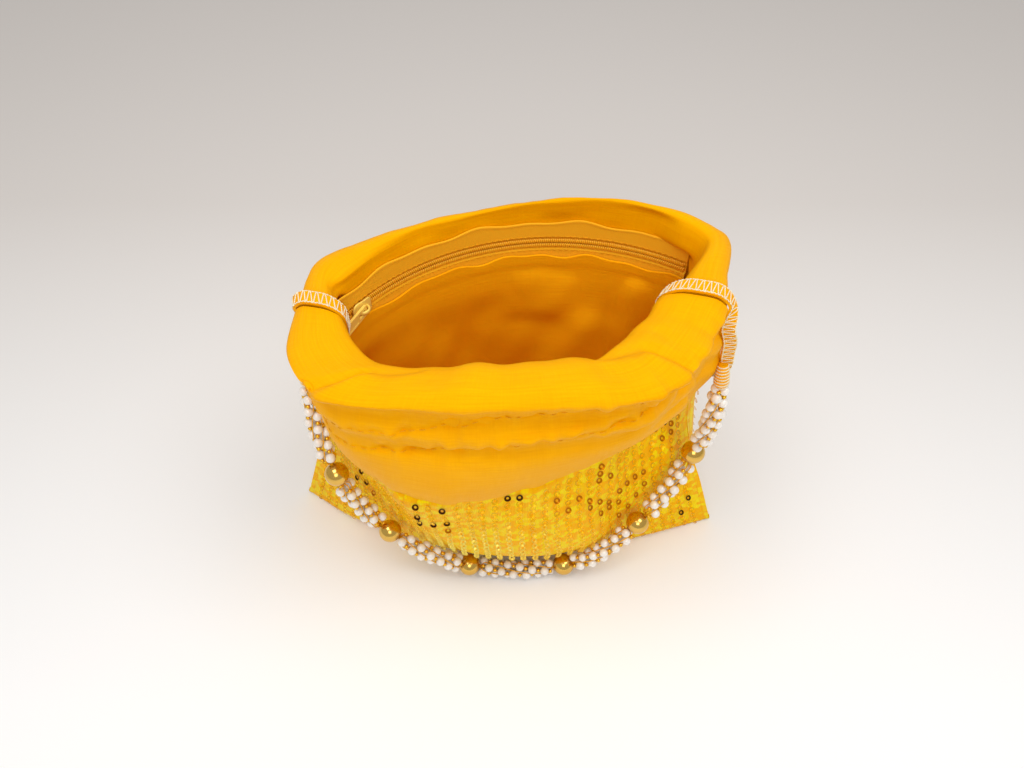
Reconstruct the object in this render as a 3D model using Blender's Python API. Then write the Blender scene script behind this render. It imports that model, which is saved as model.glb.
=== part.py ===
"""Potli bag, standing open: a sequinned pouch with a silk collar, a zip pocket and a pearl handle.

Plans and routes below are in millimetres, with X to the right, Y to the back and Z up. The bag
stands on the middle of its base, which is at the origin. Objects are made in metres.
"""

import math

import bpy
import numpy as np
from mathutils import Matrix, Vector

MM = 0.001

# Heights of the bag, in millimetres
COLLAR_SEAM = 100.0
LOWER_STITCH = 131.0
UPPER_STITCH = 147.0
ROLL_FOOT = 150.0

# Fabrics
BODY_CLOTH = 1.2
SILK = 0.9
COTTON = 0.6
GAP = 0.3
SEAM_GAP = 0.25
BASE_SEAM_BACKSET = 3.0
EAR_THICKNESS = 0.9
PANEL_SPAN = 206.0
SEAM_BLEND = 0.05

# Plans of the wall at each station height: the front from the left seam to the right seam
STATIONS = (0.0, 34.0, 66.0, 100.0, 125.0, 150.0)
FRONT_PLANS = (
    ((-102, 8), (-80, -7), (-52, -18), (-12, -27.5), (24, -27), (52, -22.5), (80, -15.5), (102, -8)),
    ((-91, 3), (-75, -11.5), (-50, -27), (-15, -43.5), (22, -44), (50, -30.5), (74, -16.5), (91, -9)),
    ((-81, -3), (-70, -16), (-53, -34), (-22, -51), (16, -49), (44, -36), (65, -21), (80, -9)),
    ((-72, -10), (-65, -26), (-56, -42), (-27, -59.5), (11, -53), (37, -40.5), (58, -24), (75, -8)),
    ((-70, -15), (-66, -33), (-58, -48.5), (-27, -59), (16, -57.5), (45, -49), (62, -36.5), (79.5, -16)),
    ((-70.5, -16), (-69, -36), (-60, -49.5), (-27, -58), (18, -58), (50, -52), (64, -36.5), (75.5, -17)),
)
# The back from the right seam to the left seam
BACK_PLANS = (
    ((102, -8), (82, 6), (56, 17.5), (26, 26), (-6, 29.5), (-34, 28), (-58, 23), (-82, 16), (-102, 8)),
    ((91, -9), (84, 8), (66, 22), (36, 35), (2, 40), (-30, 36), (-56, 25), (-77, 12), (-91, 3)),
    ((80, -9), (82, 8), (71, 24), (42, 38), (8, 42), (-25, 36.5), (-52, 22), (-71, 7), (-81, -3)),
    ((75, -8), (81.5, 7), (74, 24), (46, 39), (11, 42), (-23, 35), (-50, 19), (-68, 4), (-72, -10)),
    ((79.5, -16), (81, 4), (75, 22), (49, 38.5), (13, 42), (-21, 34), (-49, 18), (-68, 3), (-70, -15)),
    ((75.5, -17), (78, 4), (74, 21), (50, 37.5), (14, 42), (-20, 33.5), (-49, 18), (-68, 4), (-70.5, -16)),
)
# The inner lip of the rolled header, in the same order, and the height of the rim's crest
FRONT_LIP = ((-55, -20), (-50, -30), (-41, -39), (-18, -43), (10, -42), (31, -38), (43, -26), (53, -12))
BACK_LIP = ((53, -12), (63, -2), (71, 11), (50, 30), (16, 36), (-20, 28), (-44, 12), (-59, -3), (-55, -20))
FRONT_CREST = (157, 155, 157, 160.5, 161, 160, 157.5, 160)
BACK_CREST = (160, 162, 162.5, 161.5, 159, 157, 158.5, 158.5, 157)

# The zip bows along an arc about this upright axis, which its slider turns about
ZIP_AXIS = (19.4, -54.2)
ZIP_RADIUS = 91.3
ZIP_HEIGHT = 139.5
ZIP_START_DEG = 56.0
ZIP_END_DEG = 149.0
SLIDER_DEG = 143.5
ZIP_STEPS = 18
TAPE_THICKNESS = 0.5
TAPE_WIDTH = 7.4
COIL_THICKNESS = 1.8
COIL_WIDTH = 2.0
COIL_GAP = 1.0
BACK_WALL_RADIUS = ZIP_RADIUS + 4.3

# The slider and its pull tab
PLATE_LENGTH = 9.0
PLATE_WIDTH = 7.6
PLATE_THICKNESS = 0.7
PLATE_CLEARANCE = 0.25
WEB_THICKNESS = 0.4
CROWN_RADIUS = 2.8
CROWN_EYE = 1.9
CROWN_WIDTH = 1.6
TAB_HINGE_RISE = 0.95
TAB_LENGTH = 17.0
TAB_WIDTH = 5.0
TAB_THICKNESS = 1.0
TAB_REST_DEG = 12.0

# The pearl handle: where each gold bead lies, and the route that the pearls follow between them
BEAD_RADIUS = 5.0
BEAD_BORE = 1.1
STRAND_RADIUS = 5.2
HANDLE_ROUTE = (
    (80.9, -20.8, 119.0),
    (81.5, -21.5, 104.0),
    (81.3, -20.2, 88.0),
    (79.1, -18.9, 73.0),
    (74.5, -22.0, 60.0),
    (67.8, -26.7, 48.0),
    (58.7, -32.2, 37.2),
    (49.0, -36.5, 26.5),
    (38.7, -38.2, 15.6),
    (27.0, -37.2, 7.0),
    (13.0, -38.6, 5.6),
    (-2.0, -38.9, 5.6),
    (-17.3, -37.4, 7.0),
    (-30.4, -39.8, 18.8),
    (-41.8, -38.6, 27.8),
    (-51.7, -34.9, 34.6),
    (-59.5, -32.8, 46.0),
    (-65.4, -31.8, 60.0),
    (-69.3, -30.6, 74.0),
    (-74.0, -24.0, 86.0),
    (-76.0, -18.5, 98.0),
    (-76.2, -14.5, 112.0),
)
BEAD_STOPS = (3, 6, 9, 12, 15, 18)
STRAND_TAPER = (0.62, 0.8, 0.95, 1.0, 1.0)
BINDING_RADIUS = 3.3
BINDING_LENGTH = 7.0
BINDING_TIPS = {"right": (80.5, -18.6, 127.0), "left": (-74.0, -14.8, 120.0)}
OVERLOCK_WIDTH = 4.6
OVERLOCK_THICKNESS = 0.9

# Counts of rows and columns of the cloth grids
BODY_ROWS = (2.5, 8.0, 17.0, 29.0, 45.0, 64.0, 83.0)
BODY_COLUMNS = 31
COLLAR_COLUMNS = 33
LINING_COLUMNS = 21


# Small tools


def material(name, color, roughness, metallic=0.0):
    """A plain material of one colour."""
    made = bpy.data.materials.new(name)
    made.use_nodes = True
    shader = made.node_tree.nodes["Principled BSDF"]
    shader.inputs["Base Color"].default_value = (*color, 1.0)
    shader.inputs["Roughness"].default_value = roughness
    shader.inputs["Metallic"].default_value = metallic
    return made


def add_mesh(name, points, faces, finish):
    """An object from points in millimetres and faces, all turned outwards."""
    points = np.asarray(points, float)
    faces = [tuple(int(corner) for corner in face) for face in faces]
    if signed_volume(points, faces) < 0:
        faces = [face[::-1] for face in faces]
    mesh = bpy.data.meshes.new(name)
    mesh.from_pydata((points * MM).tolist(), [], faces)
    mesh.materials.append(finish)
    mesh.shade_smooth()
    mesh.set_sharp_from_angle(angle=math.radians(50))
    made = bpy.data.objects.new(name, mesh)
    bpy.context.collection.objects.link(made)
    return made


def signed_volume(points, faces):
    """Six times the volume inside the faces, negative when they point inwards."""
    total = 0.0
    for face in faces:
        for second, third in zip(face[1:-1], face[2:]):
            total += np.dot(points[face[0]], np.cross(points[second], points[third]))
    return total


def smooth(knots, values, at):
    """A cubic through the values at the knots, read at other places."""
    knots, values, at = (np.asarray(item, float) for item in (knots, values, at))
    slopes = np.gradient(values, knots, axis=0)
    place = np.clip(np.searchsorted(knots, at, side="right") - 1, 0, len(knots) - 2)
    step = knots[place + 1] - knots[place]
    t = (at - knots[place]) / step
    shape = t.shape + (1,) * (values.ndim - 1)
    t, step = t.reshape(shape), step.reshape(shape)
    start = (2 * t**3 - 3 * t**2 + 1) * values[place] + (t**3 - 2 * t**2 + t) * step * slopes[place]
    end = (3 * t**2 - 2 * t**3) * values[place + 1] + (t**3 - t**2) * step * slopes[place + 1]
    return start + end


def ease(value):
    """A step from 0 to 1 with soft ends."""
    value = np.clip(value, 0.0, 1.0)
    return value * value * (3 - 2 * value)


def along(points, fractions):
    """A smooth curve through the points, read at fractions of its length."""
    points = np.asarray(points, float)
    chords = np.linalg.norm(np.diff(points, axis=0), axis=1)
    knots = np.concatenate([[0], np.cumsum(chords)])
    dense = np.linspace(0, knots[-1], 400)
    curve = smooth(knots, points, dense)
    lengths = np.linalg.norm(np.diff(curve, axis=0), axis=1)
    arc = np.concatenate([[0], np.cumsum(lengths)])
    wanted = np.asarray(fractions) * arc[-1]
    return np.stack([np.interp(wanted, arc, curve[:, axis]) for axis in range(curve.shape[1])], -1)


def sheet_faces(rows, columns):
    """Triangles of a grid and its backing grid, closed round the border."""
    def at(layer, row, column):
        return layer * rows * columns + row * columns + column

    faces = []
    for row in range(rows - 1):
        for column in range(columns - 1):
            for layer in (0, 1):
                a, b = at(layer, row, column), at(layer, row, column + 1)
                c, d = at(layer, row + 1, column + 1), at(layer, row + 1, column)
                pair = [(a, b, c), (a, c, d)]
                faces += pair if layer == 0 else [face[::-1] for face in pair]
    border = [(0, column) for column in range(columns)]
    border += [(row, columns - 1) for row in range(1, rows)]
    border += [(rows - 1, column) for column in range(columns - 2, -1, -1)]
    border += [(row, 0) for row in range(rows - 2, 0, -1)]
    for here, following in zip(border, border[1:] + border[:1]):
        a, b = at(0, *here), at(0, *following)
        c, d = at(1, *following), at(1, *here)
        faces += [(b, a, d), (b, d, c)]
    return faces


def cloth(name, face, back, finish):
    """A closed cloth between two grids of points."""
    rows, columns = face.shape[:2]
    points = np.concatenate([face.reshape(-1, 3), back.reshape(-1, 3)])
    return add_mesh(name, points, sheet_faces(rows, columns), finish)


# The wall of the bag


def plan_curve(controls, fractions):
    """Places along one plan outline, with the direction out of the bag at each."""
    points = along(controls, fractions)
    before = along(controls, np.clip(np.asarray(fractions) - 0.01, 0, 1))
    after = along(controls, np.clip(np.asarray(fractions) + 0.01, 0, 1))
    run = after - before
    run /= np.linalg.norm(run, axis=1, keepdims=True)
    return points, np.stack([run[:, 1], -run[:, 0]], -1)


def zip_weight(points):
    """1 in front of the zip and 0 past its ends, by the angle about the zip's axis."""
    angle = np.degrees(np.arctan2(points[..., 1] - ZIP_AXIS[1], points[..., 0] - ZIP_AXIS[0]))
    return ease((angle - 42) / 9) * ease((159 - angle) / 8)


def keep_radius(points, inner=None, outer=None, weight=1.0):
    """Moves plan points along their line to the zip's axis until they clear a radius about it."""
    arm = points - np.array(ZIP_AXIS)
    radius = np.linalg.norm(arm, axis=-1)
    wanted = np.maximum(radius, outer) if outer else np.minimum(radius, inner)
    share = np.asarray(weight) * zip_weight(points)
    return np.array(ZIP_AXIS) + arm * (1 + share * (wanted / radius - 1))[..., None]


def wall(front, heights, fractions):
    """Plan places of the outer wall, (heights, fractions, 2), and the directions out of it."""
    plans = np.asarray(FRONT_PLANS if front else BACK_PLANS, float)
    controls = smooth(STATIONS, plans, np.asarray(heights, float))
    fractions = np.broadcast_to(fractions, (len(heights), np.shape(fractions)[-1]))
    places, outs = [], []
    for height, control, row in zip(heights, controls, fractions):
        place, out = plan_curve(control, row)
        if not front:
            near = ease((height - 85) / 35)
            place = keep_radius(place, outer=BACK_WALL_RADIUS, weight=near)
        chord = control[-1] - control[0]
        side = np.array([chord[1], -chord[0]]) / np.linalg.norm(chord)
        ear = EAR_THICKNESS * ease(1 - height / 60)
        places.append(place + side * ear)
        outs.append(out)
    return np.array(places), np.array(outs)


def soft_folds(front, heights, fractions):
    """How far soft upright folds push the wall out, in millimetres."""
    heights = np.asarray(heights, float)[:, None]
    turns = 2 * np.pi * np.asarray(fractions)
    rise = ease(heights / 50) * ease((COLLAR_SEAM + 6 - heights) / 12)
    lean = 0.012 * heights
    if front:
        wave = np.sin(3.0 * turns + 0.8 + lean) + 0.7 * np.sin(5.0 * turns - 1.1 - 2 * lean)
    else:
        wave = np.sin(2.0 * turns + 2.1 - lean) + 0.8 * np.sin(4.0 * turns + 0.4 + lean)
    ends = np.sin(np.pi * np.asarray(fractions)) ** 0.5
    return 1.1 * rise * wave * ends


def inset_wall(front, heights, fractions, depth):
    """Points at a depth inside the wall, in three dimensions."""
    heights = np.asarray(heights, float)
    places, outs = wall(front, heights, fractions)
    places = places + outs * soft_folds(front, heights, fractions)[..., None]
    plans = np.asarray(FRONT_PLANS if front else BACK_PLANS, float)
    controls = smooth(STATIONS, plans, heights)
    chord = controls[:, -1] - controls[:, 0]
    side = np.stack([chord[:, 1], -chord[:, 0]], -1) / np.linalg.norm(chord, axis=1, keepdims=True)
    reach = ((places - controls[:, :1]) * side[:, None]).sum(-1)
    depth = np.minimum(np.broadcast_to(depth, reach.shape), 0.8 * np.maximum(reach, 0.05))
    places = places - outs * depth[..., None]
    height = np.broadcast_to(heights[:, None], reach.shape)
    return np.dstack([places, height])


def base_seam(front, fractions, floor_row):
    """Points of the bottom seam abreast of a row of base points, in their order."""
    plan = np.asarray(FRONT_PLANS[0] if front else BACK_PLANS[0], float)
    start, end = plan[0], plan[-1]
    run = (end - start) / np.linalg.norm(end - start)
    side = np.array([run[1], -run[0]])
    t = (floor_row[:, :2] - start) @ run
    middle = np.abs(2 * t / np.linalg.norm(end - start) - 1)
    backset = BASE_SEAM_BACKSET * (1 - np.clip(middle, 0, 1) ** 2)
    points = start + t[:, None] * run + side * 0.5 * GAP
    points[:, 1] += backset
    return np.column_stack([points, floor_row[:, 2]])


def panel(name, front, heights, columns, depth, thickness, finish, margin):
    """One wall panel with its half of the base, from the bottom seam up.

    depth gives how far inside the wall each row's face is, and margin how many millimetres
    it stops short of the side seams on each row.
    """
    heights = np.concatenate([[0.0], heights])
    cut = np.asarray(margin(heights))[:, None] / PANEL_SPAN
    fractions = cut + (1 - 2 * cut) * np.linspace(0, 1, columns)[None]
    layers = []
    for extra in (0.0, thickness):
        rows = inset_wall(front, heights, fractions, depth(heights, fractions) + extra)
        rows[0, :, 2] = max(float(depth(heights, fractions)[0, 0]), 0.0) + extra
        rows[1:, :, 2] = np.maximum(rows[1:, :, 2], rows[0, :, 2] + 1.2)
        layers.append(np.concatenate([base_seam(front, fractions, rows[0])[None], rows]))
    return cloth(name, layers[0], layers[1], finish)


def make_body(finish):
    """The two sequinned panels, seamed up the sides and along the bottom."""
    heights = np.array([*BODY_ROWS, COLLAR_SEAM - 0.5 * GAP])
    for name, front in (("body_front_panel", True), ("body_back_panel", False)):
        panel(
            name, front, heights, BODY_COLUMNS,
            lambda rows, fractions: np.zeros((len(rows), fractions.shape[-1])),
            BODY_CLOTH, finish, lambda rows: np.full(len(rows), SEAM_GAP),
        )


# The lining, the pocket and the zip

LINING_REST = BODY_CLOTH + 0.5
POCKET_DEPTH = 1.9
POCKET_THICKNESS = 0.4
POCKET_RADIUS = BACK_WALL_RADIUS - 1.5
LINING_BACK_DEPTH = 4.9
LINING_TOP_BACK = 134.3
LINING_TOP_FRONT = 127.4


def lining_margin(rows):
    """The lining stays out of the pouch's pointed corners."""
    return np.interp(rows, (0, 66, 100), (9.0, 5.5, 4.5))


def make_lining(finish):
    """Two cotton panels that hang inside the walls."""
    def front_depth(rows, fractions):
        rows = np.asarray(rows)[:, None]
        fold = 1 + np.sin(2 * np.pi * (3.2 * fractions + 0.004 * rows) + 1.0)
        return LINING_REST + ease(rows / 40) * (1.9 + 1.1 * fold * ease((120 - rows) / 30))

    heights = np.array([14.0, 34.0, 60.0, 84.0, 106.0, LINING_TOP_FRONT])
    panel("lining_front", True, heights, LINING_COLUMNS, front_depth, COTTON, finish, lining_margin)

    def back_depth(rows, fractions):
        edge = ease(np.minimum(fractions, 1 - fractions) / 0.12)
        rows = np.asarray(rows)[:, None]
        fold = 1 + np.sin(2 * np.pi * (2.6 * fractions - 0.003 * rows) + 2.0)
        fold = 1.3 * fold * ease((rows - 10) / 30) * ease((118 - rows) / 20)
        middle = (LINING_BACK_DEPTH - LINING_REST) * edge + 1.1 * (1 - edge) + fold * edge
        return LINING_REST + ease(rows / 50) * middle

    heights = np.array([14.0, 34.0, 56.0, 80.0, 104.0, 122.0, LINING_TOP_BACK])
    made = panel("lining_back", False, heights, LINING_COLUMNS, back_depth, COTTON, finish, lining_margin)
    bow_lining(made)


def bow_lining(made):
    """Brings the back lining's top edge onto the zip's arc, in front of the lower tape."""
    face = ZIP_RADIUS - 0.5 * TAPE_THICKNESS - 0.45
    points = np.array([vertex.co[:] for vertex in made.data.vertices]) / MM
    half = len(points) // 2
    for layer, radius in ((slice(0, half), face), (slice(half, None), face - COTTON)):
        height = points[layer, 2]
        near = ease((height - 96) / 26)
        points[layer, :2] = keep_radius(points[layer, :2], inner=radius, weight=near)
    made.data.vertices.foreach_set("co", (points * MM).ravel())


def arc_bar(name, radii, heights, finish, degrees=(ZIP_START_DEG, ZIP_END_DEG)):
    """A flat bar bowed about the zip's axis."""
    angles = np.radians(np.linspace(*degrees, ZIP_STEPS + 1))
    rings = []
    for radius, height in ((radii[0], heights[0]), (radii[1], heights[0]),
                           (radii[1], heights[1]), (radii[0], heights[1])):
        x = ZIP_AXIS[0] + radius * np.cos(angles)
        y = ZIP_AXIS[1] + radius * np.sin(angles)
        rings.append(np.column_stack([x, y, np.full(len(angles), height)]))
    return swept(name, np.stack(rings, 1), finish)


def swept(name, rings, finish):
    """A closed solid from a row of rings, (rings, corners, 3), with flat ends."""
    count, corners = rings.shape[:2]
    faces = []
    for ring in range(count - 1):
        for corner in range(corners):
            a = ring * corners + corner
            b = ring * corners + (corner + 1) % corners
            faces += [(a, b, b + corners), (a, b + corners, a + corners)]
    last = (count - 1) * corners
    for corner in range(1, corners - 1):
        faces.append((0, corner + 1, corner))
        faces.append((last, last + corner, last + corner + 1))
    return add_mesh(name, rings.reshape(-1, 3), faces, finish)


def make_zip(tape, coil):
    """The two tapes and the two rows of coil, with a slot between the rows for the slider's web."""
    middle = (ZIP_RADIUS - 0.5 * TAPE_THICKNESS, ZIP_RADIUS + 0.5 * TAPE_THICKNESS)
    round_it = (ZIP_RADIUS - 0.5 * COIL_THICKNESS, ZIP_RADIUS + 0.5 * COIL_THICKNESS)
    for name, sign in (("upper", 1), ("lower", -1)):
        edge = 0.5 * COIL_GAP
        rows = sorted(ZIP_HEIGHT + sign * np.array([edge, edge + COIL_WIDTH]))
        arc_bar(f"zip_coil_{name}", round_it, rows, coil)
        edge += COIL_WIDTH + GAP
        rows = sorted(ZIP_HEIGHT + sign * np.array([edge, edge + TAPE_WIDTH]))
        arc_bar(f"zip_tape_{name}", middle, rows, tape)


def make_pocket(finish):
    """The sheet at the back of the zip pocket, hanging between the lining and the wall."""
    heights = np.array([56.0, 78.0, 100.0, 118.0, 130.0, ZIP_HEIGHT + 4.3])
    fractions = np.linspace(0.12, 0.88, 17)
    slack = ease((122 - heights) / 30)[:, None]
    layers = []
    for extra in (0.0, POCKET_THICKNESS):
        points = inset_wall(False, heights, fractions, POCKET_DEPTH + extra)
        bowed = keep_radius(points[..., :2], inner=POCKET_RADIUS - extra)
        points[..., :2] = slack[..., None] * points[..., :2] + (1 - slack[..., None]) * bowed
        layers.append(points)
    cloth("pocket_sheet", layers[0], layers[1], finish)


# The collar


def collar_rows(front):
    """The collar's profile from its seam, over the rim and down inside.

    Each row is (share, height, out): share runs from the wall, 0, to the inner lip, 1. A height
    over 1 is in millimetres. Otherwise it is a share of the way from the roll's foot to its crest.
    """
    pinch = -0.6 if front else -0.3
    puff = 1.0 if front else 0.5
    facing_end = 128.4 if front else 145.0
    outer = [
        (0.0, COLLAR_SEAM + 0.5 * GAP, 0.0),
        (0.0, 105.0, 1.3 * puff),
        (0.0, 117.0, 2.2 * puff),
        (0.0, 127.0, 0.9 * puff),
        (0.0, LOWER_STITCH, pinch),
        (0.0, 139.0, 1.7 * puff),
        (0.0, UPPER_STITCH, pinch),
    ]
    roll = [
        (0.0, 0.28, 3.0 * puff),
        (0.0, 0.66, 3.6 * puff),
        (0.12, 0.93, 2.0 * puff),
        (0.42, 1.0, 0.0),
        (0.74, 0.93, 0.0),
        (0.95, 0.66, 0.0),
        (1.0, 0.36, 0.0),
        (0.86 if front else 0.5, 0.05, 0.0),
    ]
    facing = [(None, UPPER_STITCH, -3.3), (None, facing_end, -3.3)]
    return outer, roll, facing


def pucker(fractions, phase):
    """Small gathers along a stitch line, uneven from place to place."""
    turns = 2 * np.pi * np.asarray(fractions)
    return np.sin(9 * turns + phase) + 0.8 * np.sin(13 * turns - 1.7 * phase + 1.0)


def seam_out(level, fraction):
    """The direction out of the bag at a side seam, shared by the front and the back there."""
    front = wall(True, [level], [fraction])[1][0, 0]
    back = wall(False, [level], [1 - fraction])[1][0, 0]
    return (front + back) / np.linalg.norm(front + back)


def collar_surface(front, fractions):
    """The outside of the collar's folded band, (rows, columns, 3)."""
    lip = along(FRONT_LIP if front else BACK_LIP, fractions)
    crest_controls = np.asarray(FRONT_CREST if front else BACK_CREST, float)
    crest = smooth(np.linspace(0, 1, len(crest_controls)), crest_controls, fractions)
    outer, roll, facing = collar_rows(front)
    side_ease = 0.35 + 0.65 * np.sin(np.pi * np.asarray(fractions)) ** 0.7
    rows = []
    for share, height, out in outer + roll + facing:
        on_roll = height <= 1
        level = ROLL_FOOT if on_roll else min(height, ROLL_FOOT)
        places, outs = wall(front, [level], fractions)
        places, outs = places[0], outs[0]
        for end in (0.0, 1.0):
            shared = ease(1 - np.abs(fractions - end) / SEAM_BLEND)[:, None]
            outs = (1 - shared) * outs + shared * seam_out(level, end if front else 1 - end)
        bulge = out * (side_ease if out > 0 else np.ones(len(fractions)))
        z = np.full(len(fractions), float(height))
        if on_roll:
            z = ROLL_FOOT + height * (crest - ROLL_FOOT)
            z = z + 0.35 * height * pucker(fractions, 2.0)
        if 120 < height < UPPER_STITCH + 1 and share is not None:
            bulge = bulge + (0.32 if front else 0.12) * pucker(fractions, height / 9)
        if not on_roll and 104 < height < LOWER_STITCH and share is not None:
            bulge = bulge + (0.5 if front else 0.2) * pucker(fractions, 4.0)
        places = places + outs * bulge[:, None]
        if share:
            places = (1 - share) * places + share * lip
        rows.append(np.column_stack([places, z]))
    return np.array(rows)


def grid_normals(grid):
    """Unit normals of a grid of points, by the cross product of its two runs."""
    down = np.gradient(grid, axis=0)
    across = np.gradient(grid, axis=1)
    normals = np.cross(across, down)
    return normals / np.linalg.norm(normals, axis=-1, keepdims=True)


def make_collar(finish):
    """The two silk bands, each folded over at the rim."""
    cut = 2 * SEAM_GAP / PANEL_SPAN
    fractions = np.linspace(cut, 1 - cut, COLLAR_COLUMNS)
    for name, front in (("collar_front", True), ("collar_back", False)):
        face = collar_surface(front, fractions)
        normals = grid_normals(face)
        outwards = wall(front, [ROLL_FOOT], fractions)[1][0]
        if (normals[2, :, :2] * outwards).sum() < 0:
            normals = -normals
        cloth(name, face, face - SILK * normals, finish)


# The overlocked seam allowances


def make_overlocks(finish):
    """A flat strip of seam allowance over each end of the rim, laid towards the back."""
    rows = slice(4, 16)
    step = 0.012
    ends = (("overlock_seam_left", 1.0, 1.0 - step), ("overlock_seam_right", 0.0, step))
    for name, fraction, inward in ends:
        seam, beside = (collar_surface(False, np.array([place]))[rows, 0] for place in (fraction, inward))
        pair = collar_surface(False, np.array([fraction, inward]))
        normals = grid_normals(pair)[rows, 0]
        centre = 0.5 * (seam[5] + seam[10])
        centre[2] = 0.5 * (ROLL_FOOT + BACK_CREST[0])
        flips = ((seam - centre) * normals).sum(-1, keepdims=True) < 0
        normals = np.where(flips, -normals, normals)
        across = beside - seam
        across /= np.linalg.norm(across, axis=1, keepdims=True)
        lift = np.interp(np.arange(len(seam)), (0, 3, 6, 11), (1.8, 1.5, 0.9, 0.9))[:, None]
        foot = seam + normals * 0.6
        edge = foot + across * OVERLOCK_WIDTH + normals * lift
        over = normals * OVERLOCK_THICKNESS
        swept(name, np.stack([foot, edge, edge + over, foot + over], 1), finish)


# The slider and its pull tab


def slider_matrix():
    """The slider's own frame: X to its nose along the zip, Y in towards the bag, Z up."""
    angle = math.radians(SLIDER_DEG)
    nose = Vector((-math.sin(angle), math.cos(angle), 0))
    inward = Vector((-math.cos(angle), -math.sin(angle), 0))
    place = Vector((ZIP_AXIS[0] - ZIP_RADIUS * inward.x, ZIP_AXIS[1] - ZIP_RADIUS * inward.y, ZIP_HEIGHT))
    turn = Matrix((nose, inward, nose.cross(inward))).transposed().to_4x4()
    return Matrix.Translation(place * MM) @ turn


def prism(name, outline, low, high, finish):
    """A plate: an outline in X and Z, drawn out along Y from low to high."""
    rings = [[(x, y, z) for x, z in outline] for y in (low, high)]
    return swept(name, np.array(rings, float), finish)


def rounded(length, width, nose_width, corner):
    """A slider plate's outline: a wide round nose, straight sides and a narrower tail."""
    half = 0.5 * length
    turn = np.linspace(0.5 * math.pi, 0, 6)
    x, z = half - corner, 0.5 * nose_width - corner
    nose = [(x + corner * math.cos(a), z + corner * math.sin(a)) for a in turn]
    upper = [(-half, 0.5 * width - 0.8), (-half + 0.8, 0.5 * width), (-0.2 * half, 0.5 * width), *nose]
    return upper + [(x, -z) for x, z in reversed(upper)]


def make_slider(finish):
    """Two plates joined by a web at the nose, with an arched crown for the pull tab."""
    face = 0.5 * COIL_THICKNESS + PLATE_CLEARANCE
    outline = rounded(PLATE_LENGTH, 6.4, PLATE_WIDTH, 2.6)
    slider = prism("zip_slider", outline, face, face + PLATE_THICKNESS, finish)
    back = prism("slider_back_plate", outline, -face - PLATE_THICKNESS, -face, finish)
    nose = 0.5 * PLATE_LENGTH
    web_outline = [(nose - 3.4, -0.5 * WEB_THICKNESS), (nose - 0.4, -0.5 * WEB_THICKNESS),
                   (nose - 0.4, 0.5 * WEB_THICKNESS), (nose - 3.4, 0.5 * WEB_THICKNESS)]
    reach = face + 0.5 * PLATE_THICKNESS
    web = prism("slider_web", web_outline, -reach, reach, finish)
    turn = np.linspace(0, math.pi, 13)
    top = face + PLATE_THICKNESS
    rings = []
    for angle in turn:
        ring = []
        for radius, side in ((CROWN_EYE, -1), (CROWN_RADIUS, -1), (CROWN_RADIUS, 1), (CROWN_EYE, 1)):
            y = top + radius * math.sin(angle) - (0.3 if angle in (turn[0], turn[-1]) else 0.0)
            ring.append((radius * math.cos(angle), y, side * 0.5 * CROWN_WIDTH))
        rings.append(ring)
    crown = swept("slider_crown", np.array(rings), finish)
    for helper in (back, web, crown):
        join = slider.modifiers.new(f"join {helper.name}", "BOOLEAN")
        join.operation = "UNION"
        join.object = helper
        helper.hide_render = True
        helper.display_type = "WIRE"
        helper.matrix_world = slider_matrix()
    slider.matrix_world = slider_matrix()
    return top


def make_pull_tab(top, finish):
    """A flat tab with a window at its root that loops round the crown, and a slot near its end."""
    root, window, slot, length = 0.5, 4.4, (TAB_LENGTH - 3.2, TAB_LENGTH - 1.5), TAB_LENGTH
    xs = (-root, root, window, slot[0], slot[1], length)
    half, inner = 0.5 * TAB_WIDTH, 0.5 * CROWN_WIDTH + 0.35
    zs = (-half, -inner, inner, half)
    holes = {(1, 1), (3, 1)}
    points, index, faces = [], {}, []

    def corner(column, row, side):
        key = (column, row, side)
        if key not in index:
            index[key] = len(points)
            taper = 1 - 0.12 * (1 - column / 5)
            points.append((xs[column], side * 0.5 * TAB_THICKNESS, zs[row] * taper))
        return index[key]

    cells = {(c, r) for c in range(len(xs) - 1) for r in range(len(zs) - 1)} - holes
    for column, row in sorted(cells):
        square = ((column, row), (column + 1, row), (column + 1, row + 1), (column, row + 1))
        faces.append(tuple(corner(*place, 1) for place in square))
        faces.append(tuple(corner(*place, -1) for place in reversed(square)))
        steps = (((0, -1), 0, 1), ((1, 0), 1, 2), ((0, 1), 2, 3), ((-1, 0), 3, 0))
        for (dx, dz), first, second in steps:
            if (column + dx, row + dz) not in cells:
                a, b = square[first], square[second]
                faces.append((corner(*b, 1), corner(*a, 1), corner(*a, -1), corner(*b, -1)))
    tab = add_mesh("zip_pull_tab", points, faces, finish)
    hinge = Matrix.Translation(Vector((0, (top + TAB_HINGE_RISE) * MM, 0)))
    tab.matrix_world = slider_matrix() @ hinge @ Matrix.Rotation(math.radians(TAB_REST_DEG), 4, "Z")
    return tab


# The pearl handle


def turned(name, profile, segments, place, axis, finish):
    """A ring turned about an axis through a place, from a closed profile of (radius, along)."""
    axis = Vector(axis).normalized()
    turn = Vector((0, 0, 1)).rotation_difference(axis).to_matrix()
    rings = len(profile)
    points, faces = [], []
    for segment in range(segments):
        angle = 2 * math.pi * segment / segments
        for radius, height in profile:
            spot = turn @ Vector((radius * math.cos(angle), radius * math.sin(angle), height))
            points.append((spot.x + place[0], spot.y + place[1], spot.z + place[2]))
    for segment in range(segments):
        following = (segment + 1) % segments
        for ring in range(rings):
            other = (ring + 1) % rings
            faces.append((segment * rings + ring, following * rings + ring,
                          following * rings + other, segment * rings + other))
    return add_mesh(name, points, faces, finish)


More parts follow.
